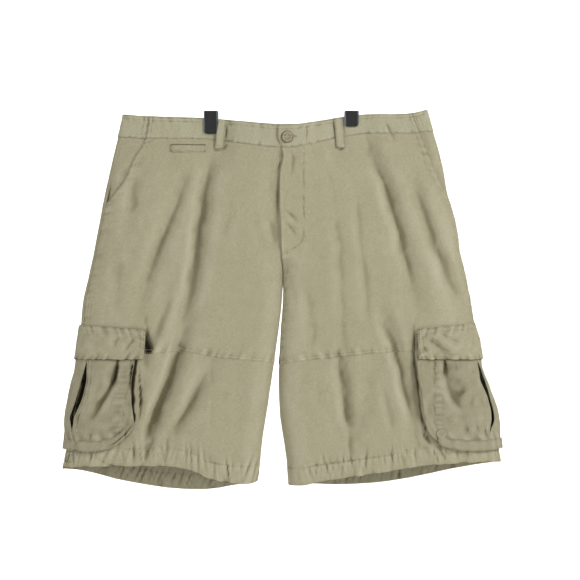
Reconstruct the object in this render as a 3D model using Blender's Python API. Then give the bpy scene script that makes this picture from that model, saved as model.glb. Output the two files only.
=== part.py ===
# Men's cargo shorts in washed canvas, hanging flat from the two clips of a trouser hanger.
#
# Metres, +Z up. The front faces -Y. Left and right are as seen from the front, so left is -X.
# The origin lies midway between the eyes of the two clips, where the hanger's bar runs along X.
#
# Each half of the garment is a skin over two coordinates: the girth q, which is 0 at the middle
# front or the inseam, 1 at the side and 2 at the middle back or the inseam again, and the height z.
# Every piece is a lattice of (q, z) on that skin, given a wall and moved in or out.

import math

import bmesh
import bpy
import numpy as np

MM = 0.001

# Cloth
CLOTH = 1.2 * MM  # wall of one layer of canvas
SEAM = 0.15 * MM  # half of the gap between two pieces at a seam
REST = 0.4 * MM  # gap under a piece that lies on another
BAND_OUT = 0.6 * MM  # how far the waistband stands proud of the panels
BAND_IN = 1.8 * MM  # how far it reaches inside them
HEM_WALL = 2 * CLOTH
FACING_GAP = 0.95 * MM  # gap between a front and the facing behind its hand pocket
FACING_SUNK = 1.8 * MM  # how much wider that gap is at the pocket's foot
FACING_TUCK = 13 * MM  # how far it reaches in behind the front
FACING_FOOT = -170 * MM  # height of its lower edge
GATHER = 1.8 * MM  # height of the hem's gathers
GATHER_REACH = 28 * MM  # how far up from the hem's edge they run
GATHER_FRONT, GATHER_BACK = 41 * MM, 36 * MM  # their pitch

# Fly and front closing
FLY_LIFT = CLOTH + REST  # the right front lies over the left one
BAND_LIFT = BAND_OUT + BAND_IN + REST
FLY_WIDTH = 38 * MM
FLY_FADE = 24 * MM  # width over which the right front sinks back to the plain section
FLY_BOTTOM = -230 * MM
FLY_UNDER = 5 * MM  # how far the left front reaches under the fly's edge
UNDERLAP = 32 * MM  # and how far the left waistband does

# Waist button: centre, and its rings as (radius, height)
BUTTON_X, BUTTON_Z = np.array(10 * MM), np.array(-41 * MM)
BUTTON_RINGS = MM * np.array([(7.5, 0), (8.7, 0.8), (8.7, 2.2), (7.5, 2.9), (5.9, 2.2), (2.6, 1.9)])

# Legs
LEG_TOP = -225 * MM  # where the two leg hollows begin to part
CROTCH = -290 * MM
INNER_ROUND = 30 * MM

# Girth of the side seam, and the stations that follow the tight bend at the side
SIDE_SEAM = {-1: 0.95, 1: 1.02}
SIDE_STATIONS = 1 + np.array(
    [-0.16, -0.13, -0.10, -0.075, -0.05, -0.035, -0.02, -0.01, 0.0]
    + [0.01, 0.02, 0.035, 0.05, 0.075, 0.10, 0.13, 0.16]
)
WRAP_START = 0.84  # girth at about which the hand pocket begins at the waist
SIDES = {-1: "left", 1: "right"}


def table(columns, *rows):
    """Named columns of a table written in millimetres, sorted by the first one, in metres."""
    values = np.array(sorted(rows), float) * MM
    return dict(zip(columns.split(), values.T))


# Girth sections from the waist down: the outer edge of each half, its inner edge or middle,
# the half depth in front and behind, and how wide the rounding at the side is.
SECTIONS = table(
    "z     out_left  out_right  in_left  in_right  front  back  round",
    (6, 260, 243, 0, 0, 5, 5, 8),
    (-30, 269, 253, 0, 0, 6, 6, 10),
    (-70, 278.5, 264, 0, 0, 8, 9, 16),
    (-110, 287.5, 272.5, -0.5, -0.5, 12, 13, 24),
    (-150, 296, 281, -1, -1, 14.5, 15.5, 34),
    (-190, 303.5, 291, 0, 0, 16, 17, 44),
    (-230, 311, 297, 1, 1, 17, 18, 52),
    (-270, 320, 307, 4, 4, 17, 18, 58),
    (-310, 329, 315, 1.5, 3.5, 17, 18, 62),
    (-350, 332, 321, -3.3, 0.6, 17, 18, 66),
    (-400, 334, 326, -10, -2.3, 18, 20, 70),
    (-425, 335.5, 328, -13.5, -3.3, 19, 21, 72),
    (-450, 341.5, 336.5, -17, -4, 20, 22, 74),
    (-500, 351.5, 353, -24.5, -2, 22, 25, 80),
    (-545, 354, 358, -31.5, 4, 24, 28, 86),
    (-590, 363, 366, -36.5, 10.5, 25, 30, 90),
    (-630, 366, 369, -40, 15, 25, 31, 92),
)

# Height of the waistband's top edge and bottom seam
WAIST = table(
    "x     top_front  top_back  seam",
    (-280, -1, -1, -40),
    (-262, -2, -2, -41),
    (-216, -6, -4, -43),
    (-134, -8, -7, -43),
    (-92, -11, -10, -47),
    (-51, -15, -13, -53),
    (-2, -21, -16, -58),
    (23, -20, -16, -57),
    (41, -17, -15, -54),
    (86, -9, -8, -43),
    (107, -5, -5, -39),
    (145, -2, -1, -34),
    (217, 0, 1, -34),
    (243, 6, 6, -31),
    (260, 9, 9, -30),
)

# Height of the seam across each thigh
THIGH = table(
    "x     z",
    (-340, -398),
    (-218, -399),
    (-160, -397),
    (-111, -405),
    (-13, -415),
    (-2, -417),
    (40, -411),
    (97, -405),
    (167, -398),
    (222, -395),
    (340, -392),
)

# Height of the hem's edge: the back hangs lower than the front
HEM_LEFT = table(
    "x     front  back",
    (-370, -590, -590),
    (-330, -586, -597),
    (-280, -584, -611),
    (-224, -584, -622),
    (-185, -584, -627),
    (-152, -590, -629),
    (-116, -605, -628),
    (-85, -611, -623),
    (-51, -613, -616),
    (-36, -610, -610),
)
HEM_RIGHT = table(
    "x     front  back",
    (12, -617, -617),
    (40, -615, -619),
    (56, -611, -620),
    (97, -605, -621),
    (175, -593, -616),
    (229, -584, -607),
    (274, -580, -597),
    (330, -578, -586),
    (370, -578, -578),
)
HEM = {-1: HEM_LEFT, 1: HEM_RIGHT}

# Free edge of the closed fly
FLY_EDGE = table(
    "z     x",
    (-10, -5),
    (-35, -6),
    (-59, 1),
    (-73, 4),
    (-96, -1),
    (-145, -2),
    (-195, 0),
    (-230, 1),
)

# Edge of the slanted hand pockets, as distance from the middle
SLASH = table(
    "z     left  right",
    (10, 218, 218),
    (-6, 219, 220),
    (-36, 223, 232),
    (-47, 226, 236),
    (-81, 246, 249),
    (-109, 257, 260),
    (-134, 275, 274),
    (-150, 290, 280),
    (-170, 310, 292),
    (-220, 400, 400),
)


def fold(depth, left, right, *path):
    """A trough in the hanging cloth: depth, width to the left and right, and its path as (z, x)."""
    z, x = np.array(sorted(path), float).T * MM
    return depth * MM, left * MM, right * MM, z, x


FOLD_END = 35 * MM  # length over which a trough fades out, each way from its end
FRONT_FOLDS = (
    fold(
        *(8, 13, 17, (-50, -109), (-130, -129), (-258, -144), (-318, -156)),
        *((-388, -168), (-457, -191), (-521, -218), (-580, -236)),
    ),
    fold(4.5, 14, 12, (-80, -150), (-222, -202), (-330, -238)),
    fold(3, 9, 11, (-90, -232), (-190, -255)),
    fold(4.5, 10, 9, (-290, -184), (-390, -220)),
    fold(5, 12, 14, (-410, -112), (-488, -151), (-555, -194)),
    fold(5, 13, 13, (-30, 138), (-78, 158), (-111, 173), (-210, 199), (-330, 228)),
    fold(4.5, 12, 12, (-110, 219), (-186, 240), (-241, 269), (-340, 302)),
    fold(5.5, 11, 14, (-320, 164), (-384, 190), (-447, 203), (-488, 215), (-560, 228)),
    fold(4, 14, 12, (-405, 102), (-530, 116)),
    fold(3.5, 12, 12, (-405, 150), (-530, 134)),
)
BACK_FOLDS = (
    fold(6, 15, 14, (-50, -104), (-160, -122), (-300, -150), (-420, -184), (-560, -212)),
    fold(4, 12, 13, (-120, -205), (-240, -232), (-350, -252)),
    fold(6, 14, 15, (-50, 106), (-170, 130), (-300, 158), (-430, 176), (-570, 196)),
    fold(4, 13, 12, (-110, 214), (-230, 243), (-350, 268)),
    fold(4, 14, 12, (-400, -96), (-500, -108), (-590, -124)),
    fold(4, 12, 14, (-410, 88), (-590, 98)),
)

# Hanger clips
CLIP_X = {-1: -116 * MM, 1: 117 * MM}
CLIP_DROP = {-1: -35 * MM, 1: -23 * MM}  # lower edge of the jaws
CLIP_TOP = 3.5 * MM
CLIP_WIDTH = 24 * MM
JAW_CORNER = 6 * MM  # radius of a jaw's lower corners
SUNK_CORNER = 4.5 * MM  # and of the sunk face's
SMALL_CORNER = 1.5 * MM  # radius of the upper corners of both
CLIP_GRIP = 3.3 * MM  # from the middle plane to each jaw
JAW_WALL = 3 * MM
JAW_RIM = 2.2 * MM  # width of the raised rim
JAW_SUNK = 0.8 * MM  # depth of the face inside it
EYE_OUT = 2.8 * MM  # radius of the eye
EYE_IN = 1.5 * MM  # radius of its bore
EYE_SHORT = 1 * MM  # how much shorter than the jaws it is at each end
EYE_COUNT = 16  # sides of the eye
PINCH = 36 * MM  # reach of the flattening beside a clip
PINCHED = 2.4 * MM  # half depth of the waist in the clips

# Cargo pockets: the front edge and the slit as distances from the middle, how far the face
# stands off the leg, and the slit's width
CARGO = table(
    "z     left  right  stand  slit_left  slit_right  slit_wide",
    (-360, 236, 222, 0.9, 316, 318, 1.4),
    (-382, 237, 222, 3.4, 316, 318, 1.4),
    (-400, 239, 223, 5.0, 317, 319, 1.4),
    (-414, 240, 224, 5.6, 318, 321, 1.8),
    (-441, 245, 228, 6.6, 322, 328, 7),
    (-475, 245, 232, 7.2, 330, 338.5, 8),
    (-507, 241, 236, 7.0, 341, 345, 6),
    (-528, 240, 242, 6.4, 341, 341, 1.4),
    (-560, 240, 246, 5.4, 341, 341, 1.4),
)
CARGO_BOTTOM = table(
    "x     left  right",  # x is the distance from the middle
    (238, -506, -520),
    (246, -526, -532),
    (258, -540, -545),
    (276, -552, -553),
    (298, -558, -557),
    (330, -559, -558),
    (372, -556, -555),
)
CARGO_TOP = -366 * MM
CARGO_FRONT = 226 * MM  # where the leg under the pocket and its flap starts to lie flat
CARGO_BACK = 276 * MM  # back edge, as distance from the middle
SLIT_TOP = -414 * MM
SLIT_BOTTOM = -528 * MM
FACE_ROWS = 10
FACE_COLUMNS = 6  # columns between a pocket's front edge and its slit
FACE_BEND = 0.995  # girth from which the side's stations are used
BEHIND_SLIT = np.array([0.0, 0.3, 0.55, 0.75, 0.9])  # columns between the slit and the side
FLAP = table(
    "z     stand",
    (-345, 0.4),
    (-356, 1.2),
    (-366, 3.6),
    (-382, 6.2),
    (-400, 7.6),
    (-415, 8.8),
)
FLAP_FRONT = 225 * MM
FLAP_BACK = 266 * MM
FLAP_TOP = table("x left right", (220, -359, -358), (335, -351, -347), (372, -350, -346))
FLAP_BOTTOM = -409 * MM
FLAP_WALL = 1.4 * MM
FLAP_LEVEL = -380 * MM  # height at which the flap's side edges are measured
FLAP_ROWS = np.array([0, 0.12, 0.28, 0.55, 0.8, 1.0])
BAND_HEIGHT = 17 * MM
BAND_START = 2  # column of the face where the band begins

# Bellows strip: its height at both ends, where it turns to run along the pocket's foot, and its
# course across as (sideways, how far off its place on the fold, share of the pocket's stand)
GUSSET_TOP = -402 * MM
GUSSET_TURN = -500 * MM
GUSSET_LOW = -540 * MM
GUSSET_CORNER = 0.012  # girth taken by its rounded corners
GUSSET_BEND = (0.85, 1.17)  # girths between which it follows the side's bend
GUSSET_REAR = 0.03  # girth between its last station but one and its rear corner
GUSSET_GAP = 2 * REST
GUSSET_FOLD = 1.15 * MM
GUSSET_OUTER = ((-4 * MM, GUSSET_GAP, 0), (5 * MM, 0, 0.5), (-4 * MM, -GUSSET_GAP, 1))
GUSSET_INNER = (
    (-4 * MM, GUSSET_GAP + GUSSET_FOLD, 0),
    (1.5 * MM, 0, 0.5),
    (-4 * MM, -GUSSET_GAP - GUSSET_FOLD, 1),
)

# Folded tab at the lower corner of the right cargo pocket: its rings as (share of size, height)
TAB_X, TAB_Z = 263 * MM, -529.5 * MM
TAB_WIDTH, TAB_HEIGHT = 16.5 * MM, 14 * MM
TAB_RINGS = ((0.3, 1.8 * MM), (0.8, 2.2 * MM), (1.0, 1.4 * MM))
TAB_COUNT = 14  # corners of a ring

CANVAS = (0.413, 0.381, 0.262)
BLACK_PLASTIC = (0.012, 0.012, 0.014)
HORN = (0.33, 0.29, 0.19)


# Curves


def smooth(x, knots, values):
    """A smooth curve through the table's points, held level past both ends."""
    x = np.clip(x, knots[0], knots[-1])
    at = np.clip(np.searchsorted(knots, x, side="right") - 1, 0, len(knots) - 2)
    step = np.diff(knots)
    slope = np.diff(values) / step
    turn = np.where(slope[:-1] * slope[1:] > 0, (slope[:-1] + slope[1:]) / 2, 0)
    tangent = np.concatenate([slope[:1], turn, slope[-1:]])
    t = (x - knots[at]) / step[at]
    bend = tangent[at] * (1 - t) - tangent[at + 1] * t
    straight = slope[at] * (1 - 2 * t)
    rise = values[at] * (1 - t) + values[at + 1] * t
    return rise + t * (1 - t) * step[at] * (bend - straight)


def read(rows, column, at):
    knots = next(iter(rows.values()))
    return smooth(at, knots, rows[column])


def ease(start, end, value):
    """0 before start, 1 past end, and a soft step between them."""
    t = np.clip((value - start) / (end - start), 0, 1)
    return t * t * (3 - 2 * t)


def quarter(a, b):
    """Length of a quarter of an ellipse with half axes a and b."""
    return math.pi / 4 * (3 * (a + b) - np.sqrt((3 * a + b) * (a + 3 * b)))


# The skin


def trough(shape, x, z):
    depth, left, right, knots, middle = shape
    off = x - smooth(z, knots, middle)
    width = np.where(off < 0, left, right)
    foot = ease(knots[0] - FOLD_END, knots[0] + FOLD_END, z)
    head = 1 - ease(knots[-1] - FOLD_END, knots[-1] + FOLD_END, z)
    return -depth * foot * head * np.exp(-((off / width) ** 2))


def gathers(side, x, z, bottom, pitch):
    """Uneven puckers that grow towards the hem."""
    turn = x / pitch + 0.3 * np.sin(x / (1.7 * pitch)) + 0.2 * side
    uneven = 0.65 + 0.35 * np.sin(x / (2.9 * pitch) + side)
    low = 1 - ease(bottom + 4 * MM, bottom + GATHER_REACH, z)
    return GATHER * uneven * np.sin(2 * math.pi * turn) * low


def relief(side, back, x, z):
    """How far the cloth stands out from the plain section: folds, gathers and the pinched waist."""
    front_relief = sum(trough(shape, x, z) for shape in FRONT_FOLDS)
    back_relief = sum(trough(shape, x, z) for shape in BACK_FOLDS)
    pocketed = np.where(back, CARGO_BACK - 22 * MM, CARGO_FRONT)
    calm = 1 - ease(pocketed - 8 * MM, pocketed + 4 * MM, np.abs(x)) * ease(-340 * MM, -356 * MM, z)
    front_relief, back_relief = front_relief * calm, back_relief * calm
    waist = ease(-150 * MM, -20 * MM, z)
    between = np.cos(np.clip(x / CLIP_X[1], -1, 1) * math.pi / 2) ** 2
    front_relief = front_relief + 6 * MM * between * waist
    back_relief = back_relief + 4 * MM * between * waist
    front_relief = front_relief + gathers(side, x, z, read(HEM[side], "front", x), GATHER_FRONT)
    back_relief = back_relief + gathers(side, x, z, read(HEM[side], "back", x), GATHER_BACK)
    out = np.where(back, back_relief, front_relief)
    depth = np.where(back, read(SECTIONS, "back", z), read(SECTIONS, "front", z))
    beside = np.abs(np.abs(x) - CLIP_X[1]) - CLIP_WIDTH / 2
    held = (1 - ease(9 * MM, PINCH, beside)) * ease(-110 * MM, -42 * MM, z)
    return out * (1 - held) + (PINCHED - depth) * held


def section(side, q, z):
    """Girth of one half at height z, and how q runs along it."""
    inner = read(SECTIONS, f"in_{SIDES[side]}", z)
    outer = read(SECTIONS, f"out_{SIDES[side]}", z)
    side_round = read(SECTIONS, "round", z)
    depth = np.where(q > 1, read(SECTIONS, "back", z), read(SECTIONS, "front", z))
    leg = ease(LEG_TOP, CROTCH, z)
    flat = side * (side * outer - inner) - INNER_ROUND - side_round
    inner_arc = quarter(INNER_ROUND, depth * leg)
    side_arc = quarter(side_round, depth)
    return inner, side_round, depth, leg, flat, inner_arc, side_arc, inner_arc + flat + side_arc


def span(side, q, z):
    """Length of cloth from the middle or inseam to the side, which q counts in."""
    return section(side, q, z)[-1]


def outline(side, q, z):
    """Across the garment at girth q: x, the plain half depth there, and its share at the bends."""
    inner, side_round, depth, leg, flat, inner_arc, side_arc, whole = section(side, q, z)
    along = np.where(q > 1, 2 - q, q) * whole
    a = along / inner_arc
    b = np.clip((along - inner_arc) / flat, 0, 1)
    c = np.clip((along - inner_arc - flat) / side_arc, 0, 1)
    turn = np.clip(a, 0, 1) * math.pi / 2
    inner_part = INNER_ROUND * (np.minimum(a, 1) * (1 - leg) + (1 - np.cos(turn)) * leg)
    run = inner_part + b * flat + side_round * np.sin(c * math.pi / 2)
    fullness = ((1 - leg) + leg * np.sin(turn)) * np.cos(c * math.pi / 2)
    return inner + side * run, depth, fullness


def x_at(side, q, z):
    """How far across the garment the skin is at girth q."""
    return outline(side, q, z)[0]


def skin(side, q, z):
    """The point of the cloth's outer face at girth q and height z."""
    x, depth, fullness = outline(side, q, z)
    out = (depth + relief(side, q > 1, x, z)) * fullness
    return np.stack([x, np.where(q > 1, out, -out), z + 0 * x], axis=-1)


def outward(side, q, z):
    """Unit normal of the skin."""
    step_q, step_z = 1e-4, 0.05 * MM
    along = skin(side, q + step_q, z) - skin(side, q - step_q, z)
    ends = (q - step_q < 0) & (z < LEG_TOP)
    along = np.where(ends[..., None], skin(side, q + step_q, z) - skin(side, q, z), along)
    ends = q + step_q > 2
    along = np.where(ends[..., None], skin(side, q, z) - skin(side, q - step_q, z), along)
    up = skin(side, q, z + step_z) - skin(side, q, z - step_z)
    normal = np.cross(along, up) * side
    return normal / np.linalg.norm(normal, axis=-1, keepdims=True)


def station(side, x, z, back=False):
    """The girth at which the skin passes x, found by halving."""
    low, high = np.full(np.shape(z + x), -0.2), np.ones(np.shape(z + x))
    for _ in range(26):
        middle = (low + high) / 2
        short = side * (x_at(side, middle, z) - x) < 0
        low, high = np.where(short, middle, low), np.where(short, high, middle)
    return 2 - low if back else low


def raised(side, q, z, out):
    return skin(side, q, z) + outward(side, q, z) * np.asarray(out)[..., None]


# Edges of pieces


def line(rows, column, drop=0.0):
    """An edge that runs across: its height, from a table over x."""
    return lambda side, q, z: read(rows, column, x_at(side, q, z)) + drop


def level(height):
    return lambda side, q, z: height + 0 * z


def hem_edge(side, q, z):
    x = x_at(side, q, z)
    return np.where(q > 1, read(HEM[side], "back", x), read(HEM[side], "front", x))


def waist_top(side, q, z):
    x = x_at(side, q, z)
    return np.where(q > 1, read(WAIST, "top_back", x), read(WAIST, "top_front", x))


def girth(value):
    """An edge that runs down at one girth."""
    return lambda side, z: value + 0 * z


def fly_line(overlap):
    """The free edge of the fly, or the edge of what lies under it."""

    def edge(side, z):
        under = overlap * ease(FLY_BOTTOM - 4 * MM, FLY_BOTTOM + 6 * MM, z)
        above = station(side, read(FLY_EDGE, "x", z) + under, z)
        return np.where(z > FLY_BOTTOM, above, 0)

    return edge


def slash_line(side, z):
    """The edge of the hand pocket, which runs out into the side seam."""
    seam = SIDE_SEAM[side]
    found = station(side, side * read(SLASH, SIDES[side], z), z)
    return np.minimum(found, seam) + max(seam - 1, 0) * ease(0.95, 1, found)


def lattice(side, left, right, top, bottom, across, down):
    """Girths and heights of a patch between four edges, SEAM clear of each."""
    a, b = np.meshgrid(across, down)
    q, z = 0.5 + a, -0.3 + 0 * b
    for _ in range(10):
        z = (top(side, q, z) - SEAM) * (1 - b) + (bottom(side, q, z) + SEAM) * b
        gap = SEAM / span(side, q, z)
        q = (left(side, z) + gap) * (1 - a) + (right(side, z) - gap) * a
    return q, z


def front_stations(side, count):
    """Fractions across a front panel: even to the side's bend, and then its stations."""
    seam = SIDE_SEAM[side]
    near = SIDE_STATIONS[SIDE_STATIONS < seam + 1e-6]
    return np.concatenate([np.linspace(0, near[0], count)[:-1], near]) / seam


def back_stations(side, count):
    seam = SIDE_SEAM[side]
    near = SIDE_STATIONS[SIDE_STATIONS > seam - 1e-6]
    return (np.concatenate([near, np.linspace(near[-1], 2, count)[1:]]) - seam) / (2 - seam)


# Meshes


def material(name, colour, roughness):
    made = bpy.data.materials.new(name)
    made.use_nodes = True
    shader = made.node_tree.nodes["Principled BSDF"]
    shader.inputs["Base Color"].default_value = (*colour, 1)
    shader.inputs["Roughness"].default_value = roughness
    shader.inputs["Metallic"].default_value = 0
    return made


def solid(name, points, faces, colour=CANVAS, roughness=0.9):
    """One closed object with its own material, faces turned outwards."""
    mesh = bpy.data.meshes.new(name)
    body = bmesh.new()
    verts = [body.verts.new(point) for point in np.asarray(points, float).tolist()]
    for face in faces:
        body.faces.new([verts[i] for i in face])
    bmesh.ops.delete(body, geom=[v for v in body.verts if not v.link_faces], context="VERTS")
    bmesh.ops.recalc_face_normals(body, faces=body.faces)
    body.to_mesh(mesh)
    body.free()
    made = bpy.data.objects.new(name, mesh)
    made.data.materials.append(material(name, colour, roughness))
    bpy.context.scene.collection.objects.link(made)
    return made


def wall_faces(outer, cut=None):
    """Faces of a closed wall between a grid of points and its twin, with cut cells left out.

    Each cell is split along its shorter diagonal, and both sides of the wall along the same one.
    """
    rows, columns = outer.shape[:2]
    kept = np.zeros((rows + 1, columns + 1), bool)  # a rim of empty cells runs all round
    kept[1:-1, 1:-1] = True if cut is None else ~cut
    falling = np.linalg.norm(outer[1:, 1:] - outer[:-1, :-1], axis=-1)
    rising = np.linalg.norm(outer[:-1, 1:] - outer[1:, :-1], axis=-1)
    far = rows * columns
    faces = []
    for i, j in np.argwhere(kept) - 1:
        a, b = i * columns + j, i * columns + j + 1
        d, c = a + columns, b + columns
        halves = ((a, b, c), (a, c, d)) if falling[i, j] < rising[i, j] else ((a, b, d), (b, c, d))
        for face in halves:
            faces += [face, tuple(far + k for k in reversed(face))]
        sides = ((a, b, i - 1, j), (b, c, i, j + 1), (c, d, i + 1, j), (d, a, i, j - 1))
        for start, end, beside_row, beside_column in sides:
            if not kept[beside_row + 1, beside_column + 1]:
                faces.append((end, start, far + start, far + end))
    return faces


def cloth(name, side, q, z, out=0.0, wall=CLOTH, cut=None, colour=CANVAS, roughness=0.9):
    """A piece of cloth on a lattice: its outer face stands `out` off the skin."""
    normal = outward(side, q, z)
    outer = skin(side, q, z) + normal * np.broadcast_to(out, q.shape)[..., None]
    inner = outer - normal * np.broadcast_to(wall, q.shape)[..., None]
    points = np.concatenate([outer.reshape(-1, 3), inner.reshape(-1, 3)])
    return solid(name, points, wall_faces(outer, cut), colour, roughness)


# Panels


def fly_raise(side, x, z):
    """How far the right front stands over the left one beside the fly."""
    if side < 0:
        return 0 * x
    return FLY_LIFT * (1 - ease(FLY_WIDTH, FLY_WIDTH + FLY_FADE, x)) * ease(-262 * MM, -240 * MM, z)


# Rows of the upper panels: three of them lie at the foot of the fly, where the fronts stop overlapping
UPPER_ROWS = np.array([0, 0.1, 0.2, 0.25, 0.3, 0.39, 0.46, 0.504, 0.6, 0.72, 0.86, 1.0])
UPPER_FRONT, UPPER_BACK = 16, 11  # columns before the side's bend


def front_panels(side):
    inner = fly_line(FLY_UNDER if side < 0 else 0.0)
    across = front_stations(side, UPPER_FRONT)
    q, z = lattice(side, inner, slash_line, line(WAIST, "seam"), line(THIGH, "z"), across, UPPER_ROWS)
    out = fly_raise(side, x_at(side, q, z), z)
    cloth(f"front_upper_{SIDES[side]}", side, q, z, out)


def back_panels(side):
    across = back_stations(side, UPPER_BACK)
    top, bottom = line(WAIST, "seam"), line(THIGH, "z")
    q, z = lattice(side, girth(SIDE_SEAM[side]), girth(2.0), top, bottom, across, UPPER_ROWS)
    cloth(f"back_upper_{SIDES[side]}", side, q, z)


HEM_START = 0.84  # where the turned-up hem begins, as a share of the lower panel's height
LOWER_ROWS = np.array([0, 0.22, 0.44, 0.66, HEM_START - 0.04, HEM_START, 0.92, 1.0])
LOWER_FRONT, LOWER_BACK = 26, 24


def hem_wall(rows, columns):
    return np.repeat(np.where(LOWER_ROWS < HEM_START, CLOTH, HEM_WALL)[:rows, None], columns, axis=1)


def lower_panels(side):
    seam = girth(SIDE_SEAM[side])
    thigh = line(THIGH, "z", -2 * SEAM)
    for name, left, right, across in (
        ("front", girth(0.0), seam, front_stations(side, LOWER_FRONT)),
        ("back", seam, girth(2.0), back_stations(side, LOWER_BACK)),
    ):
        q, z = lattice(side, left, right, thigh, hem_edge, across, LOWER_ROWS)
        cloth(f"{name}_lower_{SIDES[side]}", side, q, z, 0.0, hem_wall(*q.shape))


def pocket_facing(side):
    """The cloth behind a slanted hand pocket, from under the front to the side seam."""

    def under(side, z):
        return slash_line(side, z) - FACING_TUCK / span(side, 0.9, z)

    across, down = np.linspace(0, 1, 8), np.linspace(0, 1, 7)
    top, foot = line(WAIST, "seam"), level(FACING_FOOT)
    q, z = lattice(side, under, girth(SIDE_SEAM[side]), top, foot, across, down)
    sunk = FACING_GAP + FACING_SUNK * ease(-100 * MM, -123 * MM, z)
    cloth(f"pocket_facing_{SIDES[side]}", side, q, z, -(CLOTH + sunk))


# Waistband and closing


def waistband(side):
    """The front half, lapped at the fly, and the back half, which wraps forward to the hand pocket."""

    def middle(side, z):
        x = UNDERLAP if side < 0 else read(FLY_EDGE, "x", z)
        return station(side, x + 0 * z, z)

    seam, down = line(WAIST, "seam"), np.linspace(0, 1, 4)
    q, z = lattice(side, middle, slash_line, waist_top, seam, np.linspace(0, 1, 18), down)
    x = x_at(side, q, z)
    over = BAND_LIFT * (1 - ease(FLY_WIDTH, FLY_WIDTH + FLY_FADE, x)) if side > 0 else 0 * x
    cloth(f"waistband_front_{SIDES[side]}", side, q, z, BAND_OUT + over, BAND_OUT + BAND_IN)

    near = SIDE_STATIONS[SIDE_STATIONS > WRAP_START + 0.02]
    across = np.concatenate([[WRAP_START], near, np.linspace(near[-1], 2, 13)[1:]])
    across = (across - WRAP_START) / (2 - WRAP_START)
    q, z = lattice(side, slash_line, girth(2.0), waist_top, seam, across, down)
    cloth(f"waistband_back_{SIDES[side]}", side, q, z, BAND_OUT, BAND_OUT + BAND_IN)


def strip(name, side, x_top, x_bottom, z_top, z_bottom, width, out, back=False, wall=CLOTH):
    """A narrow strip that runs down the garment, such as a belt loop."""
    down = np.linspace(0, 1, len(out))
    across = np.linspace(-0.5, 0.5, 4)
    a, b = np.meshgrid(across, down)
    z = z_top * (1 - b) + z_bottom * b
    x = x_top * (1 - b) + x_bottom * b + a * width
    q = station(side, x, z, back)
    rise = np.repeat(np.array(out)[:, None] * MM, len(across), axis=1)
    return cloth(name, side, q, z, rise + wall, wall)


def belt_loops():
    lying = (1.0, 1.6, 1.8, 1.6, 1.6, 1.8)  # how far a loop stands off, from its top down, in mm
    over_jaw = (5.0, 5.2, 5.2, 5.0, 2.2, 1.0)
    width = 15 * MM
    strip("belt_loop_front_left", -1, -96 * MM, -103 * MM, -12 * MM, -59 * MM, width, over_jaw)
    strip("belt_loop_front_right", 1, 94.5 * MM, 99 * MM, -9 * MM, -58 * MM, width, lying)
    strip("belt_loop_back_left", -1, -170 * MM, -172 * MM, -7 * MM, -58 * MM, width, lying, True)
    strip("belt_loop_back_right", 1, 170 * MM, 172 * MM, 0 * MM, -50 * MM, width, lying, True)
    strip("belt_loop_back_middle", 1, 0 * MM, 0 * MM, -17 * MM, -70 * MM, width, lying, True)


def fly_shield():
    """The strip under the closed fly, sewn behind the edge of the left front."""
    a, b = np.meshgrid(np.linspace(0, 1, 5), np.linspace(0, 1, 9))
    z = -62 * MM * (1 - b) + (FLY_BOTTOM + 14 * MM) * b
    q = station(1, -14 * MM * (1 - a) + FLY_WIDTH * a, z)
    cloth("fly_shield", 1, q, z, -(CLOTH + REST))


def coin_welt():
    a, b = np.meshgrid(np.linspace(0, 1, 6), np.linspace(0, 1, 3))
    z = -52.5 * MM * (1 - b) + -65 * MM * b
    q = station(-1, (-183 + 58 * a) * MM, z)
    cloth("coin_welt", -1, q, z, 2 * REST + CLOTH)


def turned(name, centre, rings, colour, roughness, count=20):
    """A round solid about an axis along -Y, from (radius, height) rings."""
    points, faces = [], []
    for radius, height in rings:
        for turn in np.arange(count) * 2 * math.pi / count:
            ring = (radius * math.cos(turn), -height, radius * math.sin(turn))
            points.append(np.add(centre, ring))
    for ring in range(len(rings) - 1):
        for k in range(count):
            a, b = ring * count + k, ring * count + (k + 1) % count
            faces.append((a, b, b + count, a + count))
    last = (len(rings) - 1) * count
    faces += [tuple(range(count)), tuple(range(last, last + count))]
    return solid(name, points, faces, colour, roughness)


def waist_button():
    """A button: a rim round a shallow dish. Its four holes are finer than this solid."""
    q = station(1, BUTTON_X, BUTTON_Z)
    y = raised(1, q, BUTTON_Z, BAND_OUT + BAND_LIFT + 2 * REST)[1]
    turned("waist_button", (BUTTON_X, y, BUTTON_Z), BUTTON_RINGS, HORN, 0.45)


# Cargo pockets


def cargo_front(side, z):
    return station(side, side * read(CARGO, SIDES[side], z), z)


def cargo_back(side, z):
    return station(side, side * CARGO_BACK + 0 * z, z, True)


def cargo_bottom(side, q, z):
    """The lower edge, with a rounded corner in front and behind."""
    distance = np.abs(x_at(side, q, z))
    distance = np.where(q > 1, distance - (CARGO_BACK - 240 * MM), distance)
    return read(CARGO_BOTTOM, SIDES[side], distance)


def slit_edge(edge):
    """One long edge of the slit: -1 is the one in front."""

    def at(side, z):
        x = side * read(CARGO, f"slit_{SIDES[side]}", z)
        return station(side, x, z) + edge * read(CARGO, "slit_wide", z) / 2 / span(side, 0.9, z)

    return at


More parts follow.
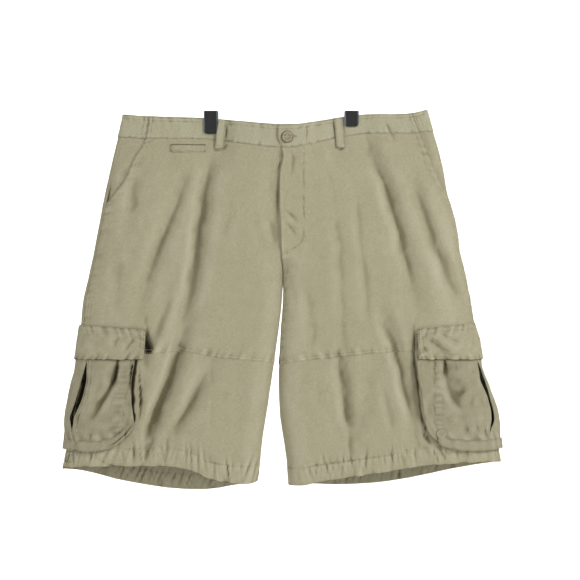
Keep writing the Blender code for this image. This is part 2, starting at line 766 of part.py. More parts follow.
def cargo_lattice(side):
    """The pocket face's lattice. Columns FACE_COLUMNS and the next one follow the slit's edges."""
    b = np.linspace(0, 1, FACE_ROWS)
    near = SIDE_STATIONS[SIDE_STATIONS > FACE_BEND]
    in_front, behind = slit_edge(-1), slit_edge(1)
    parts = [
        (cargo_front, in_front, np.linspace(0, 1, FACE_COLUMNS + 1)[:-1]),
        (in_front, behind, np.array([0.0])),
        (behind, girth(1.0), BEHIND_SLIT),
    ]
    parts += [(girth(value), girth(value), np.array([0.0])) for value in near]
    parts.append((girth(near[-1]), cargo_back, np.array([0.5, 1.0])))
    columns = []
    for left, right, across in parts:
        for a in across:
            q, z = np.full(FACE_ROWS, 0.95), np.full(FACE_ROWS, -0.45)
            for _ in range(10):
                z = CARGO_TOP * (1 - b) + cargo_bottom(side, q, z) * b
                q = left(side, z) * (1 - a) + right(side, z) * a
            columns.append((q, z))
    return [np.stack(values, axis=1) for values in zip(*columns)]


def cargo_pocket(side):
    name = SIDES[side]
    q, z = cargo_lattice(side)
    cut = np.zeros((q.shape[0] - 1, q.shape[1] - 1), bool)
    middle = (z[1:, FACE_COLUMNS] + z[:-1, FACE_COLUMNS]) / 2
    cut[:, FACE_COLUMNS] = (middle < SLIT_TOP) & (middle > SLIT_BOTTOM)
    cloth(f"cargo_face_{name}", side, q, z, read(CARGO, "stand", z) + CLOTH, CLOTH, cut)

    low = z[-1, BAND_START:]
    b = np.linspace(0, 1, 3)[:, None]
    band_z = (low + BAND_HEIGHT) * (1 - b) + low * b
    band_q = np.repeat(q[-1:, BAND_START:], len(b), axis=0)
    rise = read(CARGO, "stand", band_z) + CLOTH + 2 * REST + CLOTH
    cloth(f"cargo_band_{name}", side, band_q, band_z, rise, CLOTH)


def cargo_flap(side):
    start = station(side, side * FLAP_FRONT, FLAP_LEVEL)
    end = station(side, side * FLAP_BACK, FLAP_LEVEL, True)
    across = np.concatenate([np.linspace(start, SIDE_STATIONS[0], 5)[:-1], SIDE_STATIONS, [end]])
    across = (across - start) / (end - start)

    def top(side, q, z):
        return read(FLAP_TOP, SIDES[side], np.abs(x_at(side, q, z)))

    q, z = lattice(side, girth(start), girth(end), top, level(FLAP_BOTTOM), across, FLAP_ROWS)
    out = read(FLAP, "stand", z) + FLAP_WALL
    cloth(f"cargo_flap_{SIDES[side]}", side, q, z, out, FLAP_WALL)


def gusset_route(side):
    """The line the bellows strip follows: down the front edge, along the foot and up the back."""
    heights = np.linspace(GUSSET_TOP, GUSSET_TURN, 6)
    low = np.array(GUSSET_LOW)
    start, end = cargo_front(side, low) + GUSSET_CORNER, cargo_back(side, low) - GUSSET_CORNER
    near = SIDE_STATIONS[(SIDE_STATIONS > GUSSET_BEND[0]) & (SIDE_STATIONS < GUSSET_BEND[1])]
    last = end + GUSSET_CORNER - GUSSET_REAR
    along = np.concatenate([np.linspace(start, near[0], 4)[:-1], near, [last, end]])
    q = np.concatenate([cargo_front(side, heights), along, cargo_back(side, heights[::-1])])
    foot = cargo_bottom(side, along, np.full(len(along), GUSSET_LOW - 10 * MM))
    return q, np.concatenate([heights, foot, heights[::-1]])


def cargo_gusset(side):
    """The bellows strip between the pocket's face and the leg, folded once all along."""
    q, z = gusset_route(side)
    whole = span(side, q, z)
    run = np.stack([np.gradient(q) * whole, np.gradient(z)], axis=1)
    run /= np.linalg.norm(run, axis=1, keepdims=True)
    aside = np.stack([run[:, 1], -run[:, 0]], axis=1)  # away from the pocket
    stand = read(CARGO, "stand", z)
    grids = []
    for course in (GUSSET_OUTER, GUSSET_INNER):
        rows = []
        for sideways, out, share in course:
            shift = sideways * aside
            rows.append(raised(side, q + shift[:, 0] / whole, z + shift[:, 1], stand * share + out))
        grids.append(np.array(rows))
    points = np.concatenate([grid.reshape(-1, 3) for grid in grids])
    solid(f"cargo_gusset_{SIDES[side]}", points, wall_faces(grids[0]))


def corner_tab():
    """The folded round end of the strip at the lower front corner of the right pocket."""
    angles = np.linspace(0, 2 * math.pi, TAB_COUNT + 1)[:-1]
    shares, heights = np.array(TAB_RINGS).T[..., None]
    x = TAB_X + TAB_WIDTH / 2 * shares * np.cos(angles)
    z = TAB_Z + TAB_HEIGHT / 2 * shares * np.sin(angles)
    q = station(1, x, z)
    base = read(CARGO, "stand", z) + CLOTH + REST
    low = raised(1, q, z, base)
    high = raised(1, q, z, base + heights)
    points = np.concatenate([high.reshape(-1, 3), low.reshape(-1, 3)])
    count, far, rim = TAB_COUNT, len(TAB_RINGS) * TAB_COUNT, (len(TAB_RINGS) - 1) * TAB_COUNT
    faces = [tuple(range(count)), tuple(range(far, far + count))]
    for k in range(count):
        after = (k + 1) % count
        for start in range(0, rim, count):
            a, b = start + k, start + after
            faces.append((a, b, b + count, a + count))
            faces.append((far + a, far + b, far + b + count, far + a + count))
        faces.append((rim + k, rim + after, far + rim + after, far + rim + k))
    solid("cargo_corner_tab", points, faces)


# Hanger clips


def jaw_outline(width, top, bottom, corner):
    """A plate with rounded lower corners and small upper ones, as (x, z) points."""
    points = []
    for centre_x, centre_z, radius, start in (
        (width / 2 - corner, bottom + corner, corner, -90),
        (width / 2 - SMALL_CORNER, top - SMALL_CORNER, SMALL_CORNER, 0),
        (-width / 2 + SMALL_CORNER, top - SMALL_CORNER, SMALL_CORNER, 90),
        (-width / 2 + corner, bottom + corner, corner, 180),
    ):
        for turn in (0, 45, 90):
            angle = math.radians(start + turn)
            points.append((centre_x + radius * math.cos(angle), centre_z + radius * math.sin(angle)))
    return points


def jaw(name, x, bottom, face):
    """One jaw: a plate with a raised rim round its sunk outer face."""
    outline = jaw_outline(CLIP_WIDTH, CLIP_TOP, bottom, JAW_CORNER)
    sunk = jaw_outline(CLIP_WIDTH - 2 * JAW_RIM, CLIP_TOP - JAW_RIM, bottom + JAW_RIM, SUNK_CORNER)
    near, far = face * CLIP_GRIP, face * (CLIP_GRIP + JAW_WALL)
    rings = ((outline, near), (outline, far), (sunk, far), (sunk, far - face * JAW_SUNK))
    count = len(outline)
    points = [(x + px, y, pz) for ring, y in rings for px, pz in ring]
    faces = [tuple(range(count)), tuple(range(3 * count, 4 * count))]
    for ring in range(3):
        for k in range(count):
            a, b = ring * count + k, ring * count + (k + 1) % count
            faces.append((a, b, b + count, a + count))
    solid(name, points, faces, BLACK_PLASTIC, 0.35)


def eye(name, x):
    """The tube between the jaws that the hanger's bar runs through."""
    count = EYE_COUNT
    half = CLIP_WIDTH / 2 - EYE_SHORT
    points, faces = [], []
    for end, radius in ((-half, EYE_IN), (-half, EYE_OUT), (half, EYE_OUT), (half, EYE_IN)):
        for k in range(count):
            turn = 2 * math.pi * k / count
            points.append((x + end, radius * math.cos(turn), radius * math.sin(turn)))
    for ring in range(4):
        for k in range(count):
            a, b = ring * count + k, ring * count + (k + 1) % count
            c, d = (ring + 1) % 4 * count + (k + 1) % count, (ring + 1) % 4 * count + k
            faces.append((a, b, c, d))
    solid(name, points, faces, BLACK_PLASTIC, 0.35)


def clip(side):
    name, x = SIDES[side], CLIP_X[side]
    jaw(f"clip_{name}_front_jaw", x, CLIP_DROP[side], -1)
    jaw(f"clip_{name}_back_jaw", x, CLIP_DROP[side], 1)
    eye(f"clip_{name}_eye", x)


def main():
    for old in list(bpy.data.objects):
        bpy.data.objects.remove(old)
    for side in SIDES:
        front_panels(side)
        back_panels(side)
        lower_panels(side)
        pocket_facing(side)
        waistband(side)
        cargo_pocket(side)
        cargo_flap(side)
        cargo_gusset(side)
        clip(side)
    belt_loops()
    fly_shield()
    coin_welt()
    waist_button()
    corner_tab()


main()
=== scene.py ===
# Cargo shorts in washed khaki canvas, hanging flat from the two clips of a trouser hanger.
# Metres, +Z up, the front faces -Y. Left and right are as seen from the front.
import math

import bpy
import numpy as np
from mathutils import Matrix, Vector
from mathutils.bvhtree import BVHTree


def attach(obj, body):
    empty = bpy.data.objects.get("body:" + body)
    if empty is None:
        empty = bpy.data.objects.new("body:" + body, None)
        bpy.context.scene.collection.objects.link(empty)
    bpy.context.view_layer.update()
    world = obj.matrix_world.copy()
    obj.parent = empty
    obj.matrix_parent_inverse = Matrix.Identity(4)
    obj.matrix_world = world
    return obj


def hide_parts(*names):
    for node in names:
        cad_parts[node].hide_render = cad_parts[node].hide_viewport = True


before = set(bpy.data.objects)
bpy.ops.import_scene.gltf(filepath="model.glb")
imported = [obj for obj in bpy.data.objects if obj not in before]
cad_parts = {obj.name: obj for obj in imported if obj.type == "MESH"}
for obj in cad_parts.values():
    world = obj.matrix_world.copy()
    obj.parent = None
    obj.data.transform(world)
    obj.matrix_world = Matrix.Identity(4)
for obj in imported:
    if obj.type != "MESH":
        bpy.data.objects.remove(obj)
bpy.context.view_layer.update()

mm = 0.001
sideNames = {-1: "left", 1: "right"}

print("frame loaded,", len(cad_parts), "nodes")

# How the cloth hangs: the same sections and edges as the frame's solids

cloth = {
    "wall": 1.2 * mm,  # one layer of canvas
    "hemWall": 2.4 * mm,
    "seam": 0.15 * mm,  # half of the gap between two pieces
    "rest": 0.4 * mm,  # gap under a piece that lies on another
    "innerRound": 30 * mm,
    "legTop": -225 * mm,  # where the two legs begin to part
    "crotch": -290 * mm,
    "sideSeam": {-1: 0.95, 1: 1.02},
}
waistbandCut = {"out": 0.6 * mm, "inside": 1.8 * mm, "underlap": 32 * mm}
bow = {"front": 6 * mm, "back": 4 * mm}  # how far the waist stands out between the clips
calmed = {"front": 226 * mm, "back": 254 * mm, "top": -340 * mm}  # no large folds under a cargo pocket
fly = {
    "lift": cloth["wall"] + cloth["rest"],  # the right front lies over the left one
    "bandLift": waistbandCut["out"] + waistbandCut["inside"] + cloth["rest"],
    "width": 38 * mm,
    "fade": 24 * mm,
    "bottom": -230 * mm,
    "under": 5 * mm,
}


def table(columns, *rows):  # named columns, written in millimetres
    values = np.array(sorted(rows), float) * mm
    return dict(zip(columns.split(), values.T))


sections = table(
    "z     outLeft  outRight  inLeft  inRight  front  back  round",
    (6, 260, 243, 0, 0, 5, 5, 8),
    (-30, 269, 253, 0, 0, 6, 6, 10),
    (-70, 278.5, 264, 0, 0, 8, 9, 16),
    (-110, 287.5, 272.5, -0.5, -0.5, 12, 13, 24),
    (-150, 296, 281, -1, -1, 14.5, 15.5, 34),
    (-190, 303.5, 291, 0, 0, 16, 17, 44),
    (-230, 311, 297, 1, 1, 17, 18, 52),
    (-270, 320, 307, 4, 4, 17, 18, 58),
    (-310, 329, 315, 1.5, 3.5, 17, 18, 62),
    (-350, 332, 321, -3.3, 0.6, 17, 18, 66),
    (-400, 334, 326, -10, -2.3, 18, 20, 70),
    (-425, 335.5, 328, -13.5, -3.3, 19, 21, 72),
    (-450, 341.5, 336.5, -17, -4, 20, 22, 74),
    (-500, 351.5, 353, -24.5, -2, 22, 25, 80),
    (-545, 354, 358, -31.5, 4, 24, 28, 86),
    (-590, 363, 366, -36.5, 10.5, 25, 30, 90),
    (-630, 366, 369, -40, 15, 25, 31, 92),
)
waistLine = table(
    "x     topFront  topBack  seam",
    (-280, -1, -1, -40),
    (-262, -2, -2, -41),
    (-216, -6, -4, -43),
    (-134, -8, -7, -43),
    (-92, -11, -10, -47),
    (-51, -15, -13, -53),
    (-2, -21, -16, -58),
    (23, -20, -16, -57),
    (41, -17, -15, -54),
    (86, -9, -8, -43),
    (107, -5, -5, -39),
    (145, -2, -1, -34),
    (217, 0, 1, -34),
    (243, 6, 6, -31),
    (260, 9, 9, -30),
)
thighLine = table(
    "x     z",
    (-340, -398),
    (-218, -399),
    (-160, -397),
    (-111, -405),
    (-13, -415),
    (-2, -417),
    (40, -411),
    (97, -405),
    (167, -398),
    (222, -395),
    (340, -392),
)
hemLine = {
    -1: table(
        "x     front  back",
        (-370, -590, -590),
        (-330, -586, -597),
        (-280, -584, -611),
        (-224, -584, -622),
        (-185, -584, -627),
        (-152, -590, -629),
        (-116, -605, -628),
        (-85, -611, -623),
        (-51, -613, -616),
        (-36, -610, -610),
    ),
    1: table(
        "x     front  back",
        (12, -617, -617),
        (40, -615, -619),
        (56, -611, -620),
        (97, -605, -621),
        (175, -593, -616),
        (229, -584, -607),
        (274, -580, -597),
        (330, -578, -586),
        (370, -578, -578),
    ),
}
flyEdge = table("z x", (-10, -5), (-35, -6), (-59, 1), (-73, 4), (-96, -1), (-145, -2), (-195, 0), (-230, 1))
slashEdge = table(
    "z     left  right",
    (10, 218, 218),
    (-6, 219, 220),
    (-36, 223, 232),
    (-47, 226, 236),
    (-81, 246, 249),
    (-109, 257, 260),
    (-134, 275, 274),
    (-150, 290, 280),
    (-170, 310, 292),
    (-220, 400, 400),
)
clips = {
    "x": {-1: -116 * mm, 1: 117 * mm},
    "width": 24 * mm,
    "pinch": 36 * mm,  # reach of the flattening beside a clip
    "held": 2.4 * mm,  # half depth of the waist in the clips
}


def fold(depth, left, right, *path):  # a trough: depth, widths to its sides, path as (z, x)
    z, x = np.array(sorted(path), float).T * mm
    return depth * mm, left * mm, right * mm, z, x


foldEnd = 35 * mm
frontFolds = (
    fold(8, 13, 17, (-50, -109), (-130, -129), (-258, -144), (-318, -156),
         (-388, -168), (-457, -191), (-521, -218), (-580, -236)),
    fold(4.5, 14, 12, (-80, -150), (-222, -202), (-330, -238)),
    fold(3, 9, 11, (-90, -232), (-190, -255)),
    fold(4.5, 10, 9, (-290, -184), (-390, -220)),
    fold(5, 12, 14, (-410, -112), (-488, -151), (-555, -194)),
    fold(5, 13, 13, (-30, 138), (-78, 158), (-111, 173), (-210, 199), (-330, 228)),
    fold(4.5, 12, 12, (-110, 219), (-186, 240), (-241, 269), (-340, 302)),
    fold(5.5, 11, 14, (-320, 164), (-384, 190), (-447, 203), (-488, 215), (-560, 228)),
    fold(4, 14, 12, (-405, 102), (-530, 116)),
    fold(3.5, 12, 12, (-405, 150), (-530, 134)),
)
backFolds = (
    fold(6, 15, 14, (-50, -104), (-160, -122), (-300, -150), (-420, -184), (-560, -212)),
    fold(4, 12, 13, (-120, -205), (-240, -232), (-350, -252)),
    fold(6, 14, 15, (-50, 106), (-170, 130), (-300, 158), (-430, 176), (-570, 196)),
    fold(4, 13, 12, (-110, 214), (-230, 243), (-350, 268)),
    fold(4, 14, 12, (-400, -96), (-500, -108), (-590, -124)),
    fold(4, 12, 14, (-410, 88), (-590, 98)),
)


def smooth(x, knots, values):  # a smooth curve through a table's points, level past both ends
    x = np.clip(x, knots[0], knots[-1])
    at = np.clip(np.searchsorted(knots, x, side="right") - 1, 0, len(knots) - 2)
    step = np.diff(knots)
    slope = np.diff(values) / step
    turn = np.where(slope[:-1] * slope[1:] > 0, (slope[:-1] + slope[1:]) / 2, 0)
    tangent = np.concatenate([slope[:1], turn, slope[-1:]])
    t = (x - knots[at]) / step[at]
    bend = tangent[at] * (1 - t) - tangent[at + 1] * t
    rise = values[at] * (1 - t) + values[at + 1] * t
    return rise + t * (1 - t) * step[at] * (bend - slope[at] * (1 - 2 * t))


def read(rows, column, at):
    return smooth(at, next(iter(rows.values())), rows[column])


def ease(start, end, value):  # 0 before start, 1 past end
    t = np.clip((value - start) / (end - start), 0, 1)
    return t * t * (3 - 2 * t)


def bump(centre, width, value):
    return np.exp(-(((value - centre) / width) ** 2))


def unit(vectors):
    return vectors / np.maximum(np.linalg.norm(vectors, axis=-1, keepdims=True), 1e-12)


def runOf(path):  # how far along a path each of its points is
    return np.cumsum(np.linalg.norm(np.diff(path, axis=0, prepend=path[:1]), axis=1))


def sampled(at, run, values):  # each column of values where the run reaches at
    return np.stack([np.interp(at, run, column) for column in values.T], axis=-1)


def bothSides(outer, inner):
    return np.concatenate([outer.reshape(-1, 3), inner.reshape(-1, 3)])


def quarterArc(a, b):  # length of a quarter of an ellipse
    return math.pi / 4 * (3 * (a + b) - np.sqrt((3 * a + b) * (a + 3 * b)))


# Uneven cloth: seeded waves in one and two directions

ripples = np.random.default_rng(7).uniform(-1, 1, (64, 1024))
patches = np.random.default_rng(11).uniform(-1, 1, (16, 128, 128))


def ripple(t, seed):  # an uneven wave of about unit pitch, from -1 to 1
    at = np.floor(t).astype(int)
    f = t - at
    f = f * f * (3 - 2 * f)
    row = ripples[seed % 64]
    return row[at % 1024] * (1 - f) + row[(at + 1) % 1024] * f


def patch(u, v, seed):  # soft uneven patches of about unit size
    i, j = np.floor(u).astype(int), np.floor(v).astype(int)
    f, g = u - i, v - j
    f, g = f * f * (3 - 2 * f), g * g * (3 - 2 * g)
    m = patches[seed % 16]
    i0, i1, j0, j1 = i % 128, (i + 1) % 128, j % 128, (j + 1) % 128
    return (m[i0, j0] * (1 - f) + m[i1, j0] * f) * (1 - g) + (m[i0, j1] * (1 - f) + m[i1, j1] * f) * g


def rumple(s, z, seed=0):  # washed canvas never lies quite flat: over cloth length s and height z
    broad = 0.75 * patch(s / (46 * mm), z / (70 * mm), seed)
    middle = 0.34 * patch((s + 0.3 * z) / (17 * mm), z / (36 * mm), seed + 1)
    fine = 0.16 * patch(s / (7 * mm), z / (11 * mm), seed + 2)
    fine = fine + 0.06 * patch(s / (3.4 * mm), z / (4.2 * mm), seed + 3)
    return (broad + middle + fine) * mm


# The skin of the garment, over girth q and height z: q is 0 at the middle front or the inseam,
# 1 at the side and 2 at the middle back


def trough(shape, x, z):
    depth, left, right, knots, middle = shape
    off = x - smooth(z, knots, middle)
    width = np.where(off < 0, left, right)
    foot = ease(knots[0] - foldEnd, knots[0] + foldEnd, z)
    head = 1 - ease(knots[-1] - foldEnd, knots[-1] + foldEnd, z)
    return -depth * foot * head * np.exp(-((off / width) ** 2))


def clamped(x, z, near=9 * mm, far=clips["pinch"]):  # 1 in the clips, 0 away from them
    beside = np.abs(np.abs(x) - clips["x"][1]) - clips["width"] / 2
    return (1 - ease(near, far, beside)) * ease(-110 * mm, -42 * mm, z)


def relief(back, x, z):
    front = sum(trough(shape, x, z) for shape in frontFolds)
    rear = sum(trough(shape, x, z) for shape in backFolds)
    start = np.where(back, calmed["back"], calmed["front"])
    low = ease(calmed["top"], calmed["top"] - 16 * mm, z)
    calm = 1 - ease(start - 8 * mm, start + 4 * mm, np.abs(x)) * low
    waist = ease(-150 * mm, -20 * mm, z)
    between = np.cos(np.clip(x / clips["x"][1], -1, 1) * math.pi / 2) ** 2
    out = np.where(back, rear, front) * calm + np.where(back, bow["back"], bow["front"]) * between * waist
    depth = np.where(back, read(sections, "back", z), read(sections, "front", z))
    held = clamped(x, z)
    return out * (1 - held) + (clips["held"] - depth) * held


def section(side, q, z):
    name = sideNames[side].capitalize()
    inner = read(sections, "in" + name, z)
    outer = read(sections, "out" + name, z)
    sideRound = read(sections, "round", z)
    depth = np.where(q > 1, read(sections, "back", z), read(sections, "front", z))
    leg = ease(cloth["legTop"], cloth["crotch"], z)
    flat = side * (side * outer - inner) - cloth["innerRound"] - sideRound
    innerArc = quarterArc(cloth["innerRound"], depth * leg)
    sideArc = quarterArc(sideRound, depth)
    return inner, sideRound, depth, leg, flat, innerArc, sideArc, innerArc + flat + sideArc


def span(side, q, z):  # length of cloth that q counts in
    return section(side, q, z)[-1]


def outline(side, q, z):
    inner, sideRound, depth, leg, flat, innerArc, sideArc, whole = section(side, q, z)
    along = np.where(q > 1, 2 - q, q) * whole
    a = along / innerArc
    b = np.clip((along - innerArc) / flat, 0, 1)
    c = np.clip((along - innerArc - flat) / sideArc, 0, 1)
    turn = np.clip(a, 0, 1) * math.pi / 2
    innerPart = cloth["innerRound"] * (np.minimum(a, 1) * (1 - leg) + (1 - np.cos(turn)) * leg)
    run = innerPart + b * flat + sideRound * np.sin(c * math.pi / 2)
    fullness = ((1 - leg) + leg * np.sin(turn)) * np.cos(c * math.pi / 2)
    return inner + side * run, depth, fullness


def xAt(side, q, z):
    return outline(side, q, z)[0]


def skin(side, q, z):
    x, depth, fullness = outline(side, q, z)
    out = (depth + relief(q > 1, x, z)) * fullness
    return np.stack([x, np.where(q > 1, out, -out), z + 0 * x], axis=-1)


def outward(side, q, z):
    stepQ, stepZ = 1e-4, 0.05 * mm
    along = skin(side, q + stepQ, z) - skin(side, q - stepQ, z)
    ends = (q - stepQ < 0) & (z < cloth["legTop"])
    along = np.where(ends[..., None], skin(side, q + stepQ, z) - skin(side, q, z), along)
    ends = q + stepQ > 2
    along = np.where(ends[..., None], skin(side, q, z) - skin(side, q - stepQ, z), along)
    up = skin(side, q, z + stepZ) - skin(side, q, z - stepZ)
    return unit(np.cross(along, up) * side)


def station(side, x, z, back=False):  # the girth at which the skin passes x
    low, high = np.full(np.shape(z + x), -0.2), np.ones(np.shape(z + x))
    for _ in range(24):
        middle = (low + high) / 2
        short = side * (xAt(side, middle, z) - x) < 0
        low, high = np.where(short, middle, low), np.where(short, high, middle)
    return 2 - low if back else low


# Edges of the pieces

heights = np.linspace(-640, 12, 1305) * mm


def tabled(edge, side):  # an edge that runs down, worked out once for each height
    values = edge(side, heights)
    return lambda z: np.interp(z, heights, values)


def line(rows, column, drop=0.0):
    return lambda side, q, z: read(rows, column, xAt(side, q, z)) + drop


def level(height):
    return lambda side, q, z: height + 0 * z


def hemEdge(side, q, z):
    x = xAt(side, q, z)
    return np.where(q > 1, read(hemLine[side], "back", x), read(hemLine[side], "front", x))


def waistTop(side, q, z):
    x = xAt(side, q, z)
    return np.where(q > 1, read(waistLine, "topBack", x), read(waistLine, "topFront", x))


def girth(value):
    return lambda side, z: value + 0 * z


def flyLine(overlap):
    def edge(side, z):
        under = overlap * ease(fly["bottom"] - 4 * mm, fly["bottom"] + 6 * mm, z)
        above = station(side, read(flyEdge, "x", z) + under, z)
        return np.where(z > fly["bottom"], above, 0)

    return edge


def slashLine(side, z):
    seam = cloth["sideSeam"][side]
    found = station(side, side * read(slashEdge, sideNames[side], z), z)
    return np.minimum(found, seam) + max(seam - 1, 0) * ease(0.95, 1, found)


def lattice(side, left, right, top, bottom, across, down):
    left, right = tabled(left, side), tabled(right, side)
    a, b = np.meshgrid(across, down)
    q, z = 0.5 + a, -0.3 + 0 * b
    for _ in range(9):
        z = (top(side, q, z) - cloth["seam"]) * (1 - b) + (bottom(side, q, z) + cloth["seam"]) * b
        gap = cloth["seam"] / span(side, q, z)
        q = (left(z) + gap) * (1 - a) + (right(z) - gap) * a
    return q, z


fineSteps = np.array([0, 0.5, 1.1, 1.9, 2.8, 3.8, 4.9, 6.1, 7.3, 8.5, 10.2]) * mm


def spread(length, cell, first=True, last=True):  # shares of a length, close together at sewn ends
    length = length * mm
    steps = fineSteps[fineSteps < 0.45 * length]  # a narrow strip has room for fewer
    start = steps if first else np.zeros(1)
    end = length - (steps[::-1] if last else np.zeros(1))
    count = max(round((end[0] - start[-1]) / (cell * mm)), 1)
    middle = np.linspace(start[-1], end[0], count + 1)[1:-1]
    return np.concatenate([start, middle, end]) / length


# Meshes


def added(name, data):
    made = bpy.data.objects.new(name, data)
    bpy.context.scene.collection.objects.link(made)
    return made


def makeMesh(name, points, faces, look, values=None):
    used, at = np.unique(faces, return_inverse=True)
    points, faces = points[used], at.reshape(faces.shape)
    p, q, r, s = (points[faces[:, k]] for k in range(4))
    volume = np.sum(np.cross(q - p, r - p) * p) + np.sum(np.cross(r - p, s - p) * p)
    if volume < 0:
        faces = faces[:, ::-1]
    mesh = bpy.data.meshes.new(name)
    mesh.vertices.add(len(points))
    mesh.vertices.foreach_set("co", points.astype(np.float32).ravel())
    mesh.loops.add(faces.size)
    mesh.loops.foreach_set("vertex_index", faces.ravel().astype(np.int32))
    mesh.polygons.add(len(faces))
    mesh.polygons.foreach_set("loop_start", np.arange(0, faces.size, 4, dtype=np.int32))
    mesh.update(calc_edges=True)
    for key, value in (values or {}).items():
        value = value[used].astype(np.float32)
        flat = value.ndim == 1
        layer = mesh.attributes.new(key, "FLOAT" if flat else "FLOAT_VECTOR", "POINT")
        layer.data.foreach_set("value" if flat else "vector", value.ravel())
    mesh.shade_smooth()
    mesh.set_sharp_from_angle(angle=math.radians(52))
    mesh.materials.append(look)
    return added(name, mesh)


def wallFaces(rows, columns, cut=None):  # a closed wall between two grids, with cut cells left out
    index = np.arange(rows * columns).reshape(rows, columns)
    far = rows * columns
    kept = np.ones((rows - 1, columns - 1), bool) if cut is None else ~cut
    ring = np.pad(kept, 1)
    a, b, c, d = index[:-1, :-1], index[:-1, 1:], index[1:, 1:], index[1:, :-1]
    faces = [np.stack([a, b, c, d], -1)[kept], far + np.stack([d, c, b, a], -1)[kept]]
    for start, end, i, j in ((a, b, -1, 0), (b, c, 0, 1), (c, d, 1, 0), (d, a, 0, -1)):
        bare = kept & ~ring[1 + i : rows + i, 1 + j : columns + j]
        faces.append(np.stack([end, start, start + far, end + far], -1)[bare])
    return np.concatenate(faces)


def lengths(points):  # how far each point of a grid is from its four edges, along the cloth
    steps = np.linalg.norm(np.diff(points, axis=1, prepend=points[:, :1]), axis=-1)
    across = np.cumsum(steps, axis=1)
    steps = np.linalg.norm(np.diff(points, axis=0, prepend=points[:1]), axis=-1)
    down = np.cumsum(steps, axis=0)
    return {"left": across, "right": across[:, -1:] - across, "top": down, "bottom": down[-1:] - down}


def blurred(values, times):
    for _ in range(times):
        rows = np.pad(values, ((1, 1), (0, 0)), mode="edge")
        values = (rows[:-2] + 2 * rows[1:-1] + rows[2:]) / 4
        columns = np.pad(values, ((0, 0), (1, 1)), mode="edge")
        values = (columns[:, :-2] + 2 * columns[:, 1:-1] + columns[:, 2:]) / 4
    return values


# Creases, seams and puckers


def nearest(path, x, z, reach):  # where a path in mm is near: how far, how far along, which side
    points = np.array(path, float)
    low, high = (points.min(0) - reach) * mm, (points.max(0) + reach) * mm
    inside = (x > low[0]) & (x < high[0]) & (z > low[1]) & (z < high[1])
    px, pz = x[inside] / mm, z[inside] / mm
    best, along, side = np.full(px.shape, 1e3), np.zeros(px.shape), np.ones(px.shape)
    runs = np.linalg.norm(np.diff(points, axis=0), axis=1)
    starts = np.concatenate([[0], np.cumsum(runs)])
    for (x0, z0), (x1, z1), run, start in zip(points[:-1], points[1:], runs, starts):
        t = np.clip(((px - x0) * (x1 - x0) + (pz - z0) * (z1 - z0)) / run**2, 0, 1)
        dx, dz = px - x0 - t * (x1 - x0), pz - z0 - t * (z1 - z0)
        far = np.hypot(dx, dz)
        near = far < best
        best = np.where(near, far, best)
        along = np.where(near, start + t * run, along)
        side = np.where(near, np.sign(dz * (x1 - x0) - dx * (z1 - z0)), side)
    return inside, best, along, side, starts[-1]


def crease(shape, x, z):  # a fold in mm: depth, width to its left, width to its right, points as (x, z)
    depth, left, right, *path = shape
    out = np.zeros(np.shape(x))
    inside, best, along, side, total = nearest(path, x, z, 3.2 * max(left, right))
    if not inside.any():
        return out
    end = min(max(34, 0.32 * total), total / 2)
    fade = ease(0, end, along) * ease(0, end, total - along)
    seed = int(total * 7)
    wander = 0.35 * min(left, right) * ripple(along / 27, seed + 1)
    off = best * side + wander
    wide = np.where(off < 0, left, right) * (0.9 + 0.25 * ripple(along / 31, seed))
    uneven = 0.85 + 0.3 * ripple(along / 33, seed + 2)
    far = np.sqrt((off / wide) ** 2 + 0.02) - 0.14
    profile = -np.exp(-1.15 * far**1.35) + 0.2 * np.exp(-(((off + 1.9 * left) / left) ** 2))
    out[inside] = depth * mm * fade * uneven * profile
    return out


def shaded(shape, x, z):  # a painted shadow line between two layers or along a fold, with its strength in place of a depth; a negative strength paints light
    strength, left, right, *path = shape
    out = np.zeros(np.shape(x))
    inside, best, along, side, total = nearest(path, x, z, 3 * max(left, right))
    if inside.any():
        taper = np.sin(math.pi * np.clip(along / total, 0.03, 0.97)) ** 0.6
        uneven = 1 + 0.3 * ripple(along / (6 + left + right), int(total))
        wide = np.where(side < 0, left, right) * (0.45 + 0.55 * taper) * uneven
        out[inside] = -strength * taper * np.exp(-((best / wide) ** 1.6))
    return out


def dotted(along, seed):  # how strong the painted shade in the needle holes and gaps of a row of stitches is
    return 0.7 + 0.3 * ripple(along / 2.3, seed)


def sewnLine(path, x, z, pucker=0.5):  # relief of a row of stitches along a path, and the painted shade along it
    height, dark = np.zeros(np.shape(x)), np.zeros(np.shape(x))
    inside, best, along, side, total = nearest(path, x, z, 16)
    if inside.any():
        fade = ease(0, 2, along) * ease(0, 2, total - along)
        lean = along + 0.4 * best * side
        waves = 0.7 * ripple(lean / 4.8, int(total)) + 0.5 * ripple(along / 10, int(total) + 1)
        height[inside] = (-0.4 * bump(0, 0.9, best) + pucker * waves * np.exp(-best / 4.5)) * fade * mm
        dark[inside] = -0.8 * bump(0, 0.95, best) * dotted(along, int(total)) * fade
    return height, dark


def seamRelief(away, along, rows, lift, pucker, seed):  # doubled cloth under rows of stitching
    edge = rows[-1] + 1.3
    d = away / mm
    plateau = lift * (1 - ease(edge, edge + 1.8, d))
    grooves = -0.4 * sum(bump(row, 0.8, d) for row in rows)
    near = np.exp(-np.maximum(d - edge, 0) / 4.5) * ease(-0.5, 1.5, d)
    lean = along / mm + 0.35 * d
    waves = pucker * near * (0.9 * ripple(lean / 4.6, seed) + 0.6 * ripple(lean / 10, seed + 1))
    return (plateau + grooves + waves) * mm


# painted shade along rows of stitches
def seamShade(away, along, rows, seed):
    d = away / mm
    return -0.68 * dotted(along / mm, seed) * sum(bump(row, 0.95, d) for row in rows)


